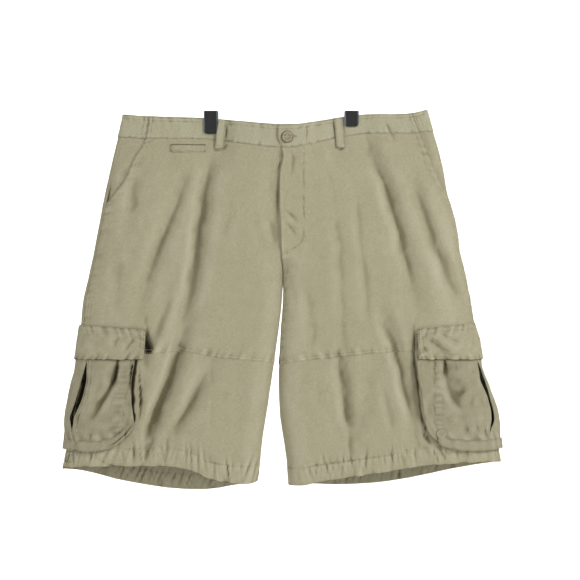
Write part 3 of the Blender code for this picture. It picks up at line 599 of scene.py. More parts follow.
def hemPuckers(s, up, seed, height, apart=(5.5, 15), lean=(-0.25, 0.25), strength=1.0):
    rng = np.random.default_rng(seed)
    out = np.zeros(np.shape(s))
    at = s.min() / mm - 5
    tall = up / mm
    while at < s.max() / mm + 5:
        at += rng.uniform(*apart)
        depth, width = rng.uniform(0.8, 3.0), rng.uniform(1.5, 3.0)
        slope = rng.uniform(*lean)
        peak, reach = height * rng.uniform(0.55, 1.0), rng.uniform(9, 22)
        off = s / mm - at - slope * (tall - height)
        rise = np.where(tall < peak, ease(-6, peak, tall), bump(peak, reach, tall))
        valley = bump(0, width, off) - 0.4 * bump(0, 2.4 * width, off)
        out += np.where(np.abs(off) < 5 * width, -depth * rise * valley, 0)
    return out * mm * strength


# Shader groups shared by the finishes


def node(tree, kind, **settings):
    made = tree.nodes.new(kind if kind.startswith("Node") else "ShaderNode" + kind)
    for key, value in settings.items():
        setattr(made, key, value)
    return made


def link(tree, source, target):
    tree.links.new(source, target)


def calculate(tree, operation, *inputs, clamp=False):
    made = node(tree, "Math", operation=operation, use_clamp=clamp)
    for at, value in enumerate(inputs):
        if isinstance(value, (int, float)):
            made.inputs[at].default_value = value
        else:
            link(tree, value, made.inputs[at])
    return made.outputs[0]


def noise(tree, place, scale, detail=2.0, roughness=0.5):
    made = node(tree, "TexNoise")
    made.inputs["Scale"].default_value = scale
    made.inputs["Detail"].default_value = detail
    made.inputs["Roughness"].default_value = roughness
    link(tree, place, made.inputs["Vector"])
    return made.outputs["Fac"]


def ramp(tree, value, low, high, start=0.0, end=1.0):
    made = node(tree, "MapRange", clamp=True)
    for key, number in zip(("From Min", "From Max", "To Min", "To Max"), (low, high, start, end)):
        made.inputs[key].default_value = number
    link(tree, value, made.inputs["Value"])
    return made.outputs["Result"]


def stretched(tree, place, scales):
    made = node(tree, "VectorMath", operation="MULTIPLY")
    link(tree, place, made.inputs[0])
    made.inputs[1].default_value = scales
    return made.outputs[0]


def attribute(tree, name, output="Fac"):
    return node(tree, "Attribute", attribute_name=name).outputs[output]


def bumped(tree, height, strength, distance, normal=None):
    made = node(tree, "Bump")
    made.inputs["Strength"].default_value = strength
    made.inputs["Distance"].default_value = distance
    link(tree, height, made.inputs["Height"])
    if normal is not None:
        link(tree, normal, made.inputs["Normal"])
    return made.outputs[0]


def newGroup(name, inputs, outputs):
    group = bpy.data.node_groups.new(name, "ShaderNodeTree")
    for key, kind, value in inputs:
        socket = group.interface.new_socket(name=key, in_out="INPUT", socket_type="NodeSocket" + kind)
        if value is not None:
            socket.default_value = value
    for key, kind in outputs:
        group.interface.new_socket(name=key, in_out="OUTPUT", socket_type="NodeSocket" + kind)
    return group, node(group, "NodeGroupInput"), node(group, "NodeGroupOutput")


def weaveGroup():  # plain canvas weave over the cloth's own length and height, with uneven yarns
    inputs = (("Cloth", "Vector", None), ("Threads", "Float", 1500.0), ("Slub", "Float", 0.35))
    group, given, out = newGroup("canvasWeave", inputs, (("Height", "Float"), ("Yarn", "Float")))
    weft = noise(group, stretched(group, given.outputs["Cloth"], (240, 900, 1)), 1.0, 1.0)
    warp = noise(group, stretched(group, given.outputs["Cloth"], (900, 240, 1)), 1.0, 1.0)
    parts = node(group, "SeparateXYZ")
    link(group, given.outputs["Cloth"], parts.inputs[0])
    waves = []
    for axis, uneven in (("X", warp), ("Y", weft)):
        turned = calculate(group, "MULTIPLY", parts.outputs[axis], given.outputs["Threads"])
        turned = calculate(group, "MULTIPLY", turned, math.pi)
        shaken = calculate(group, "MULTIPLY", calculate(group, "SUBTRACT", uneven, 0.5), 2.4)
        waves.append(calculate(group, "SINE", calculate(group, "ADD", turned, shaken)))
    woven = calculate(group, "MULTIPLY", *waves)
    slub = calculate(group, "MULTIPLY", calculate(group, "ADD", warp, weft), given.outputs["Slub"])
    high = calculate(group, "ADD", calculate(group, "MULTIPLY", woven, 0.5), slub)
    link(group, high, out.inputs["Height"])
    link(group, ramp(group, high, -0.4, 1.0), out.inputs["Yarn"])
    return group


def washGroup():  # how washing faded the dye: clouds, blotches and fine flecks
    scales = (("Cloud", "Float", 9.0), ("Blotch", "Float", 55.0), ("Fleck", "Float", 420.0))
    outputs = (("Fade", "Float"), ("Fleck", "Float"), ("Height", "Float"))
    group, given, out = newGroup("washedFade", (("Place", "Vector", None), *scales), outputs)
    found = []
    for key, detail in (("Cloud", 3.0), ("Blotch", 4.0), ("Fleck", 2.0)):
        made = node(group, "TexNoise")
        made.inputs["Detail"].default_value = detail
        made.inputs["Roughness"].default_value = 0.6
        link(group, given.outputs["Place"], made.inputs["Vector"])
        link(group, given.outputs[key], made.inputs["Scale"])
        found.append(made.outputs["Fac"])
    cloud, blotch, fleck = found
    broad = calculate(group, "MULTIPLY", cloud, 0.45)
    fade = calculate(group, "ADD", broad, calculate(group, "MULTIPLY", blotch, 0.55))
    high = calculate(group, "ADD", calculate(group, "MULTIPLY", fleck, 0.6), blotch)
    link(group, ramp(group, fade, 0.3, 0.7), out.inputs["Fade"])
    link(group, ramp(group, fleck, 0.3, 0.72), out.inputs["Fleck"])
    link(group, high, out.inputs["Height"])
    return group


def wearAndShadeGroup():  # rubbed ridges and edges, with painted light where the cloth stands out, painted shade in creases, grooves, stitch rows and under other layers, and the deepest painted shadow
    inputs = (("Tone", "Float", 0.0), ("Break Up", "Float", 0.5))
    outputs = (("RubbedAndLit", "Float"), ("PaintedShade", "Float"), ("Shaded", "Float"))
    group, given, out = newGroup("rubbedRidgesAndShade", inputs, outputs)
    broken = ramp(group, given.outputs["Break Up"], 0.0, 1.0, 0.8, 1.12)
    rubbedAndLit = calculate(group, "MULTIPLY", ramp(group, given.outputs["Tone"], 0.08, 1.0), broken, clamp=True)
    link(group, rubbedAndLit, out.inputs["RubbedAndLit"])
    dark = calculate(group, "MULTIPLY", given.outputs["Tone"], -1.0)
    deep = calculate(group, "POWER", ramp(group, dark, 0.04, 1.0), 1.6)
    link(group, calculate(group, "MULTIPLY", deep, broken, clamp=True), out.inputs["PaintedShade"])
    link(group, ramp(group, dark, 0.9, 2.0), out.inputs["Shaded"])
    return group


groups = {"weave": weaveGroup(), "wash": washGroup(), "wearAndShade": wearAndShadeGroup()}


def placed(tree, name):
    made = node(tree, "Group")
    made.node_tree = groups[name]
    return made


def linear(*colour):  # from 0 to 255 as seen to what a shader takes
    c = np.array(colour, float) / 255
    return (*np.where(c > 0.04045, ((c + 0.055) / 1.055) ** 2.4, c / 12.92), 1.0)


def mixed(tree, share, first, second, mode="MIX"):
    made = node(tree, "Mix", data_type="RGBA", blend_type=mode)
    for socket, value in ((made.inputs[0], share), (made.inputs[6], first), (made.inputs[7], second)):
        if isinstance(value, (int, float, tuple)):
            socket.default_value = value
        else:
            link(tree, value, socket)
    return made.outputs[2]


def newMaterial(name):
    made = bpy.data.materials.new(name)
    made.use_nodes = True
    tree = made.node_tree
    tree.nodes.clear()
    shader = node(tree, "BsdfPrincipled")
    link(tree, shader.outputs[0], node(tree, "OutputMaterial").inputs[0])
    return made, tree, shader


canvas = {
    "colour": (178, 172, 145),  # base colour as seen
    "faded": (197, 192, 168),
    "deep": (138, 130, 101),
    # the next three: rubbed ridges and edges, with painted light where the cloth stands out; painted shade in
    # creases, seams and under other layers; the deepest painted shadow, in slits and pits
    "rubbedAndLit": (200, 195, 172),
    "paintedShade": (96, 88, 62),
    "shaded": (22, 19, 12),
    "threads": 1450.0,  # yarns a metre
    "weaveDepth": 0.16,  # mm
    "roughness": 0.9,
}


def canvasMaterial(name, shade=1.0, warmth=0.0, fade=1.0):
    made, tree, shader = newMaterial(name)

    def tinted(colour):
        r, g, b, a = linear(*colour)
        return (r * shade * (1 + warmth), g * shade, b * shade * (1 - warmth), a)

    woven, wash, wearAndShade = (placed(tree, key) for key in ("weave", "wash", "wearAndShade"))
    link(tree, attribute(tree, "cloth", "Vector"), woven.inputs["Cloth"])
    woven.inputs["Threads"].default_value = canvas["threads"]
    link(tree, node(tree, "TexCoord").outputs["Object"], wash.inputs["Place"])
    link(tree, attribute(tree, "tone"), wearAndShade.inputs["Tone"])
    link(tree, wash.outputs["Fleck"], wearAndShade.inputs["Break Up"])
    layers = (  # mask, where it ends, its share at both ends, colour over what is below
        (wash.outputs["Fade"], 1, 0, 0.22 * fade, "faded"),
        (wash.outputs["Fade"], 0.4, 0.1 * fade, 0, "deep"),
        (wash.outputs["Fleck"], 1, 0.38, 0, "deep"),
        (woven.outputs["Yarn"], 1, 0.32, 0, "deep"),
        # from the tone attribute: rubbed wear and painted light where it is high, painted shade where it is
        # low
        (wearAndShade.outputs["RubbedAndLit"], 1, 0, 0.5, "rubbedAndLit"),
        (wearAndShade.outputs["PaintedShade"], 1, 0, 0.88, "paintedShade"),
    )
    colour = tinted(canvas["colour"])
    for mask, end, low, high, over in layers:
        colour = mixed(tree, ramp(tree, mask, 0, end, low, high), colour, tinted(canvas[over]))
    # the deepest painted shadow
    colour = mixed(tree, wearAndShade.outputs["Shaded"], colour, linear(*canvas["shaded"]))
    link(tree, colour, shader.inputs["Base Color"])
    rough = ramp(tree, wearAndShade.outputs["RubbedAndLit"], 0, 1, canvas["roughness"], canvas["roughness"] - 0.12)
    link(tree, rough, shader.inputs["Roughness"])
    shader.inputs["Specular IOR Level"].default_value = 0.14
    shader.inputs["Sheen Weight"].default_value = 0.03
    shader.inputs["Sheen Roughness"].default_value = 0.6
    coarse = bumped(tree, wash.outputs["Height"], 0.6, 0.8 * mm)
    fine = bumped(tree, woven.outputs["Height"], 0.6, canvas["weaveDepth"] * mm, coarse)
    link(tree, fine, shader.inputs["Normal"])
    return made


thread = {
    "pitch": 3.3 * mm,
    "length": 2.4 * mm,
    "width": 0.52 * mm,
    "proud": 0.26 * mm,
    "dark": (152, 145, 116),
    "light": (188, 182, 154),
}


def threadMaterial():
    made, tree, shader = newMaterial("sewingThread")
    place = node(tree, "TexCoord").outputs["Object"]
    uneven = noise(tree, place, 260.0, 2.0)
    colour = mixed(tree, ramp(tree, uneven, 0.3, 0.7), linear(*thread["dark"]), linear(*thread["light"]))
    link(tree, colour, shader.inputs["Base Color"])
    link(tree, ramp(tree, uneven, 0.3, 0.7, 0.75, 0.6), shader.inputs["Roughness"])
    shader.inputs["Sheen Weight"].default_value = 0.2
    link(tree, bumped(tree, noise(tree, place, 1900.0, 1.0), 0.4, 0.1 * mm), shader.inputs["Normal"])
    return made


finishes = {
    "body": canvasMaterial("washedCanvas"),
    "waist": canvasMaterial("washedCanvasWaist", 1.08, -0.03),
    "pocket": canvasMaterial("washedCanvasPocket", 0.86),
    "flap": canvasMaterial("washedCanvasFlap", 0.97),
    "lining": canvasMaterial("washedCanvasInside", 0.97),
    "thread": threadMaterial(),
}
print("finishes made:", ", ".join(finishes))

# Thread

sewing = {}  # piece name: stitches as (start, end, outward)


def sew(piece, path, normals, pitch=thread["pitch"], length=thread["length"]):
    run = runOf(path)
    starts = np.arange(0.4 * pitch, run[-1] - length, pitch)
    both = np.concatenate([path, normals], axis=1)
    for start, end in zip(sampled(starts, run, both), sampled(starts + length, run, both)):
        sewing.setdefault(piece, []).append((start[:3], end[:3], start[3:] + end[3:]))


def makeThreads(piece):
    if piece not in sewing:
        return []
    starts, ends, facing = (np.array(values) for values in zip(*sewing[piece]))
    run, facing = ends - starts, unit(facing)
    aside = unit(np.cross(run, facing))
    points = []
    for share, proud, size in ((0.0, -0.6, 0.45), (0.16, 0.8, 1.0), (0.84, 0.8, 1.0), (1.0, -0.6, 0.45)):
        centre = starts + run * share + facing * proud * thread["proud"]
        for turn in range(4):
            angle = math.pi / 4 + turn * math.pi / 2
            reach = thread["width"] * size * 0.72
            points.append(centre + (aside * math.cos(angle) + facing * math.sin(angle) * 0.8) * reach)
    points = np.stack(points, axis=1).reshape(-1, 3)
    around = []
    for ring in (0, 4, 8):
        for k in range(4):
            a, b = ring + k, ring + (k + 1) % 4
            around.append((a, b, b + 4, a + 4))
    around += [(3, 2, 1, 0), (12, 13, 14, 15)]
    faces = (np.arange(len(starts))[:, None, None] * 16 + np.array(around)[None]).reshape(-1, 4)
    made = makeMesh("thread_" + piece, points, faces, finishes["thread"])
    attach(made, "root")
    return [made]


# Pieces of cloth

pieces = {}  # piece name: its object and the grid of its outer side

# Rows of stitches that don't run along an edge, by piece, as points (x, z) in millimetres

flyRow = (
    *((37.6, -56), (37.6, -110), (37.6, -150), (37.6, -196), (37, -206)),
    *((34, -214), (28.9, -220.5), (17.8, -226.5), (6, -232)),
)
sewnLines = {
    "front_upper_right": (flyRow,),
    "waistband_front_right": (((43, -22), (42, -52)),),
    "waistband_back_left": (((-220, -8), (-225, -38)), ((-226, -8), (-231.5, -38))),
    "waistband_back_right": (((222, -3), (232, -31)), ((228, -3), (238, -31))),
    "cargo_face_left": (((-246, -408), (-250, -452), (-257, -482), (-260, -530)),),
    "cargo_face_right": (((253, -408), (252, -440), (252, -475), (253, -514)),),
}
softness = {"depth": 0.8, "width": 1.3}  # of the creases below, for this weight of canvas


def bodyCreases(back, x, z):
    out = np.zeros(np.shape(x))
    for shapes, here in ((frontCreases, ~back), (backCreases, back)):
        if here.any():
            for depth, left, right, *path in shapes:
                wide = left * softness["width"], right * softness["width"]
                out[here] += crease((depth * softness["depth"], *wide, *path), x[here], z[here])
    return out


def edgeRow(grid, normals, away, distance, across):  # the line at one distance from an edge
    if across:
        grid, normals, away = (np.swapaxes(v, 0, 1) for v in (grid, normals, away))
    found = []
    for place, facing, far in zip(grid, normals, away):
        if far[0] > far[-1]:
            place, facing, far = place[::-1], facing[::-1], far[::-1]
        found.append(sampled(distance, far, np.concatenate([place, facing], axis=1)))
    found = np.array(found)
    return found[:, :3], found[:, 3:]


def asCloth(made, replaced):
    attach(made, "root")
    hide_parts(replaced)
    pieces[replaced] = {"object": made}


# A seam of a draped piece is (edge, rows of stitches in mm, lift, pucker, where it is sewn)


def drape(name, side, q, z, out=0.0, wall=cloth["wall"], finish="body", seams=(), rolled=(), own=None,
          paintedShading=None, shadeLines=(), cut=None, rumpled=1.0, creased=1.0, needled=1.0, edged=0.45):
    normal = outward(side, q, z)
    base = skin(side, q, z) + normal * np.broadcast_to(out, q.shape)[..., None]
    away = lengths(base)
    s, x, back = q * span(side, q, z), base[..., 0], q > 1
    height = rumple(s, z, side + 3) * rumpled
    height += bodyCreases(back, x, z) * creased
    dark = np.zeros(q.shape)
    for edge, rows, lift, pucker, *sewn in seams:
        along = away["top"] if edge in ("left", "right") else away["left"]
        share = sewn[0](base) if sewn else 1.0
        seed = len(name) + 5 * len(edge)
        height += share * seamRelief(away[edge], along, rows, lift, pucker, seed)
        dark += share * seamShade(away[edge], along, rows, seed) * needled
    for path in sewnLines.get(name, ()):
        groove, rowShade = sewnLine(path, x, z)
        height += groove * ~back
        dark += rowShade * ~back
    if own is not None:
        height += own(s, x, z, away, back)
    height *= 1 - clamped(x, z, 2 * mm, 16 * mm)
    curl = sum(np.clip(1 - away[edge] / (1.4 * mm), 0, 1) ** 2 for edge in rolled) + 0 * height
    thick = np.broadcast_to(wall, q.shape)
    outer = base + normal * (height - 0.42 * thick * curl)[..., None]
    inner = base + normal * (height - thick + 0.36 * thick * curl)[..., None]
    depth = np.where(back, outer[..., 1], -outer[..., 1])
    # tone paints shade and light: darker in small and broad hollows, lighter on small ridges (partly rubbed
    # wear) and where the cloth stands out
    broad = (depth - blurred(depth, 70)) / (7 * mm)
    tone = np.clip((height - blurred(height, 8)) / (1.1 * mm), -0.36, 0.6) + np.clip(broad, -0.22, 0.4)
    # painted shade along rolled edges
    tone = tone - edged * np.clip(curl, 0, 1)
    # each piece's own painted shading
    if paintedShading is not None:
        tone = tone + paintedShading(s, x, z, away, back)
    # painted shadow lines, lighter where a line's strength is negative
    tone = tone + sum(shaded(shape, x, z) for shape in shadeLines) * ~back
    # rows of stitches add their painted shade where the cloth isn't already in deep shade
    tone = np.clip(np.clip(tone, -2, 1) + dark * (tone > -0.9), -2, 1)
    # the inner side: painted shade, a little darker overall and darker in its hollows
    inside = np.clip(-0.9 * (height - blurred(height, 6)) / mm - 0.25, -1, 0.3)
    woven = np.stack([s, z, 0 * z], axis=-1)
    values = {"tone": np.concatenate([tone.ravel(), inside.ravel()]), "cloth": bothSides(woven, woven + 0.37)}
    faces = wallFaces(*q.shape, cut)
    asCloth(makeMesh("canvas_" + name, bothSides(outer, inner), faces, finishes[finish], values), name)
    pieces[name]["outer"] = outer
    facing = np.cross(np.gradient(outer, axis=1), np.gradient(outer, axis=0))
    facing = unit(facing * np.sign(np.sum(facing * normal, axis=-1, keepdims=True)))
    for edge, rows, lift, pucker, *sewn in seams:
        for row in rows:
            path, normals = edgeRow(outer, facing, away[edge], row * mm, edge in ("top", "bottom"))
            kept = sewn[0](path[None])[0] > 0.5 if sewn else np.ones(len(path), bool)
            if row > 0 and kept.sum() > 3:
                sew(name, path[kept], normals[kept])
    for path in sewnLines.get(name, ()):
        sewPath(name, path)


def surface(name):  # the outer side of a piece, to lay thread on
    piece = pieces[name]
    if "tree" not in piece:
        rows, columns = piece["outer"].shape[:2]
        quads = wallFaces(rows, columns)[: (rows - 1) * (columns - 1)]
        piece["tree"] = BVHTree.FromPolygons(piece["outer"].reshape(-1, 3).tolist(), quads.tolist())
    return piece["tree"]


def onto(name, path, back=False):  # a path of (x, z) in millimetres, laid onto a piece
    path = np.array(path, float) * mm
    run = runOf(path)
    places, normals = [], []
    toward = -1 if back else 1
    for x, z in sampled(np.arange(0, run[-1] + 1e-9, 0.8 * mm), run, path):
        place, normal, *_ = surface(name).ray_cast((x, -0.2 * toward, z), (0, toward, 0))
        if place is not None:
            normal = np.array(normal)
            places.append(np.array(place))
            normals.append(normal * (-1 if normal[1] * toward > 0 else 1))
    return np.array(places), np.array(normals)


def sewPath(name, path, back=False, **how):
    places, normals = onto(name, path, back)
    if len(places) > 3:
        sew(name, places, normals, **how)


def barTack(name, x, z, turn=0.0, length=5.5, width=1.7, back=False):  # a dense bar of thread
    turn = math.radians(turn)
    dx, dz = math.cos(turn), math.sin(turn)
    ends = [(x - dx * length / 2, z - dz * length / 2), (x + dx * length / 2, z + dz * length / 2)]
    places, normals = onto(name, ends, back)
    if len(places) < 3:
        return
    run = runOf(places)
    for found in sampled(np.arange(0, run[-1], 0.5 * mm), run, np.concatenate([places, normals], axis=1)):
        place, normal = found[:3], found[3:]
        aside = unit(np.cross(normal, places[-1] - places[0])) * width / 2 * mm
        sewing.setdefault(name, []).append((place - aside, place + aside, normal))


# Where the creases lie: depth, width to their left, width to their right, points as (x, z), in millimetres

frontCreases = (
    (
        4.2, 5, 11, (-107, -62), (-118, -100), (-127, -134), (-136, -190), (-142, -240), (-148, -290),
        (-156, -330), (-164, -372),
    ),
    (5.2, 4.5, 13, (-162, -362), (-171, -398), (-186, -445), (-205, -490), (-217, -520), (-226, -560)),
    (2.8, 7, 13, (-150, -98), (-170, -150), (-192, -200), (-214, -256), (-229, -306)),
    (3.0, 6, 9, (-232, -100), (-240, -124), (-246, -150), (-252, -176)),
    (3.0, 4, 8, (-178, -300), (-190, -332), (-202, -362), (-210, -388)),
    (3.2, 6, 14, (-119, -420), (-134, -452), (-151, -488), (-170, -515), (-184, -540)),
    (
        4.0, 6, 12, (134, -20), (147, -56), (158, -84), (170, -112), (182, -150), (197, -206),
        (212, -262), (224, -312),
    ),
    (3.2, 7, 10, (222, -120), (234, -160), (248, -206), (268, -250), (288, -302), (294, -322)),
    (3.8, 5, 11, (160, -325), (176, -362), (188, -384), (196, -420), (202, -446), (212, -488), (222, -530)),
    (1.8, 5, 22, (94, -372), (98, -420), (103, -460), (108, -500), (111, -540)),
    (1.1, 6, 18, (102, -404), (105, -440), (110, -480), (115, -512), (116, -536)),
    (2.2, 3, 14, (113, -520), (114, -550), (115, -580)),
    (2.2, 4, 9, (170, -440), (176, -480), (184, -515), (188, -540)),
    (1.6, 3, 5, (17, -58), (20, -76), (19, -96), (16, -112)),
    (1.5, 3, 5, (2, -158), (12, -166), (22, -176), (31, -188)),
    (1.3, 3, 4, (4, -178), (14, -188), (22, -200), (28, -210)),
    (2.0, 3, 6, (171, -12), (178, -26), (186, -42), (190, -54)),
    (1.2, 6, 10, (70, -66), (84, -120), (92, -180), (104, -240)),
    (2.4, 6, 13, (97, -190), (100, -260), (104, -320), (108, -402)),
    (2.4, 5, 11, (124, -100), (128, -160), (134, -230), (142, -300), (152, -380)),
    (1.6, 6, 12, (46, -280), (52, -320), (54, -370), (52, -404)),
    (2.0, 7, 11, (-268, -230), (-266, -280), (-268, -345)),
    (1.0, 9, 12, (-80, -90), (-86, -160), (-94, -230)),
    (1.2, 5, 8, (-14, -64), (-18, -100), (-20, -150)),
    (1.8, 5, 8, (-24, -160), (-16, -190), (-7, -228)),
    (1.0, 6, 9, (-48, -150), (-38, -190), (-22, -236)),
    (1.2, 5, 8, (34, -262), (44, -300), (46, -350), (40, -392)),
    (1.2, 5, 8, (14, -262), (22, -300), (24, -340)),
    (1.2, 6, 10, (60, -424), (64, -460), (60, -500)),
    (0.8, 2, 6, (-114, -404), (-113, -460), (-115, -540)),
    (1.0, 6, 9, (-60, -430), (-66, -490), (-70, -560)),
    (1.2, 4, 6, (118, -10), (124, -24), (126, -40), (140, -70)),
    (4.2, 5, 8, (-218, -350), (-220, -366), (-221, -392), (-222, -412), (-222, -440)),
    (2.8, 5, 7, (-222, -420), (-226, -470), (-228, -512), (-238, -546)),
    (
        4.4, 9, 3, (221, -334), (220, -366), (219, -400), (220, -430), (224, -462), (231, -500),
        (241, -530), (250, -552),
    ),
    (2.6, 4, 5, (-216, -540), (-222, -556), (-217, -580)),
    (2.0, 3, 5, (-208, -530), (-212, -546), (-228, -566)),
    (1.6, 3, 5, (-152, -540), (-146, -556), (-138, -572)),
    (1.8, 3, 5, (-128, -552), (-118, -568), (-112, -588)),
    (1.6, 3, 5, (196, -560), (202, -572), (200, -588)),
    (2.0, 3, 5, (222, -540), (236, -556), (248, -574)),
    (1.6, 3, 5, (290, -556), (300, -566), (314, -576)),
)
backCreases = (
    (
        4.0, 6, 14, (-104, -60), (-116, -100), (-130, -150), (-140, -210), (-150, -270), (-166, -340),
        (-182, -394),
    ),
    (4.2, 5, 15, (-174, -372), (-186, -410), (-202, -460), (-212, -510), (-220, -560), (-224, -590)),
    (2.6, 8, 15, (-142, -90), (-168, -150), (-196, -214), (-218, -276), (-232, -340)),
    (1.8, 6, 10, (-206, -100), (-226, -150), (-244, -196), (-256, -232)),
    (2.6, 5, 11, (-120, -420), (-132, -470), (-152, -530), (-160, -570)),
    (4.2, 13, 6, (106, -60), (122, -104), (138, -160), (146, -220), (160, -290), (176, -352), (184, -396)),
    (4.0, 16, 5, (176, -380), (188, -424), (196, -470), (204, -520), (208, -570), (206, -596)),
    (2.8, 14, 7, (150, -80), (176, -130), (206, -196), (228, -262), (240, -330)),
    (1.6, 9, 6, (226, -110), (240, -150), (256, -200), (262, -240)),
    (2.0, 12, 6, (88, -420), (98, -470), (116, -520), (124, -560)),
    (1.5, 8, 14, (-46, -84), (-60, -140), (-72, -196), (-78, -250)),
    (1.5, 13, 8, (52, -80), (64, -130), (78, -190), (84, -240)),
    (2.0, 4, 8, (-4, -236), (-20, -252), (-46, -268), (-80, -280), (-112, -284)),
    (1.8, 8, 4, (4, -244), (22, -262), (50, -278), (90, -288), (118, -288)),
    (1.2, 5, 9, (-10, -262), (-26, -290), (-50, -314), (-70, -330)),
    (1.2, 9, 5, (12, -268), (28, -296), (50, -322), (74, -340)),
    (1.3, 7, 12, (-60, -430), (-70, -480), (-76, -540), (-74, -580)),
    (1.2, 12, 7, (42, -426), (52, -476), (58, -530), (56, -580)),
    (1.6, 5, 9, (-254, -352), (-244, -400), (-238, -450), (-244, -500)),
    (1.6, 9, 5, (250, -350), (242, -396), (238, -446), (242, -500)),
)


# Painted shadow lines where one layer of cloth lies over another and along folds, and painted light where the
# strength is negative: strength, widths, points as (x, z)

# painted shadow in the pit beside the left flap
flapPitShadow = (2.0, 3, 6, (-223, -360), (-222, -380), (-220, -396), (-219, -420))
frontShadeLines = (
    (2.0, 1.2, 2.4, (-234, -420), (-232.5, -450), (-231.6, -478), (-233.5, -504), (-237, -524)),
    # painted light: a lighter sliver inside the left slit
    (-1.5, 1.3, 1.6, (-329, -446), (-334, -464), (-341, -486)),
    (1.0, 2.5, 3, (-234, -548), (-236, -561), (-231, -578)),
    (0.8, 2, 7, (-224, -330), (-223, -350), (-219, -372)),
    (0.6, 6, 26, (-181, -430), (-190, -456), (-207, -494), (-218, -520), (-226, -548)),
    (0.5, 3, 12, (-160, -360), (-171, -398), (-181, -430), (-192, -460)),
    (0.9, 1.5, 2.5, (-364, -572), (-352, -579), (-340, -576)),
    (0.9, 1.2, 2.5, (-307, -563), (-297, -574), (-286, -580), (-272, -583)),
    (0.4, 2, 10, (-113, -70), (-126, -130), (-136, -190), (-143, -250), (-152, -320)),
    (0.42, 1.8, 9, (136, -24), (158, -84), (170, -112), (182, -150), (197, -206), (212, -262), (222, -310)),
    (0.3, 1.8, 7, (222, -120), (240, -180), (262, -236), (284, -292)),
    (0.45, 2, 9, (166, -334), (186, -384), (198, -430), (210, -486), (220, -524)),
    (0.42, 2.5, 26, (91, -350), (95, -404), (98, -440), (104, -498), (112, -522), (112, -578)),
    (0.35, 2, 8, (-152, -100), (-178, -166), (-204, -230), (-226, -296)),
    (0.35, 2, 8, (-121, -424), (-140, -466), (-168, -512), (-184, -538)),
    (
        1.7, 2.6, 1.5, (220, -354), (220, -384), (221, -414), (225, -441), (229, -475), (233, -507),
        (239, -528), (247, -546),
    ),
    (1.5, 4, 3, (230, -524), (238, -537), (247, -548)),
    (0.9, 1.5, 3, (252, -546), (264, -562), (276, -579)),
    (0.8, 1.2, 2.5, (270, -556), (276, -564), (282, -572)),
    (0.8, 1.5, 3, (308, -561), (316, -572), (325, -582)),
    (0.9, 1.2, 1.5, (347, -566), (347, -573), (348, -579)),
    (0.9, 1.2, 2.0, (-88.5, -50), (-93, -56), (-96, -64)),
    (0.9, 1.2, 1.2, (-113, -61.5), (-104, -61.8), (-94, -61.5)),
    (0.9, 1.2, 1.2, (90, -60), (99, -60.4), (108, -60)),
    (1.1, 1.2, 1.8, (-4, -60), (-1, -70), (-2, -84), (-6, -98)),
    (0.4, 2, 3, (-5, -110), (-6, -140), (-5, -170)),
    (0.35, 1.0, 3, (17, -58), (20, -76), (19, -94), (15, -112)),
    (0.5, 1.0, 2.5, (2, -158), (12, -166), (22, -176), (31, -186)),
    (0.4, 1.0, 2.5, (5, -178), (14, -188), (22, -200), (27, -208)),
    (0.45, 5, 3, (-284, -98), (-281, -112), (-283, -128)),
)
bandShadeLines = (
    (1.2, 1.0, 1.6, (-88, -16), (-90, -32), (-94, -50)),
    (0.9, 1.4, 1.0, (-104.5, -36), (-108, -44), (-110, -52)),
    (1.0, 1.4, 1.0, (86.5, -6), (88, -24), (90.5, -44)),
    (1.0, 1.0, 1.4, (102.5, -4), (104, -20), (107, -40)),
    (1.9, 0.7, 0.7, (18.5, -39.4), (24, -39.8), (30, -40)),
    (0.5, 1.5, 2.5, (172, -12), (176, -22), (180, -32)),
    (0.5, 2, 2, (44, -22), (43, -36), (42, -50)),
    (0.6, 1.5, 3.0, (-7, -24), (-9, -40), (-3, -56)),
)
pocketShadeLines = {
    -1: (
        (1.7, 3, 2.5, (-267, -400), (-269, -420), (-273, -440), (-282, -458)),
        (0.45, 9, 3, (-272, -430), (-284, -462), (-300, -490), (-311, -515)),
        (2.0, 2, 2.5, (-238, -398), (-241, -418), (-247, -440), (-244, -465), (-239, -490)),
        (1.5, 1.2, 2.2, (-241, -512), (-254, -529), (-270, -543), (-288, -553)),
        (1.2, 1.0, 1.8, (-243, -524), (-256, -540), (-270, -550)),
        (0.9, 1.5, 2, (-308, -520), (-311, -530), (-314, -540)),
        (0.7, 1.2, 2, (-262, -512), (-264, -522), (-266, -532)),
        (0.7, 1.2, 2, (-282, -516), (-284, -526), (-288, -538)),
        (0.8, 1.0, 1.6, (-322, -448), (-327, -480), (-337, -505)),
    ),
    1: (
        (2.0, 1.6, 2.4, (269.5, -400), (269.5, -420), (271, -438)),
        (0.66, 15, 15, (284, -412), (289, -440), (299, -464), (311, -486), (318, -512)),
        (0.3, 1.5, 9, (271, -432), (272, -450), (277, -467), (290, -483), (305, -497)),
        (0.6, 1.0, 2.2, (318, -500), (322, -518), (328, -536)),
        (0.6, 1.0, 2.2, (331, -508), (335, -522), (341, -540)),
        (0.55, 1.0, 2.2, (303, -512), (307, -524), (312, -536)),
        (0.5, 8, 6, (255, -402), (257, -420), (263, -440)),
        (0.5, 2, 5, (246, -406), (240, -418), (236, -430)),
        (0.6, 1.2, 3.5, (270, -498), (275, -510), (284, -520)),
        (0.6, 1.2, 2, (286, -408), (287, -418), (289, -430)),
        (1.0, 1.2, 1.6, (248, -535), (256, -544), (270, -552)),
        (0.45, 0.9, 1.6, (312, -412), (318, -440), (324, -470), (330, -512)),
    ),
}
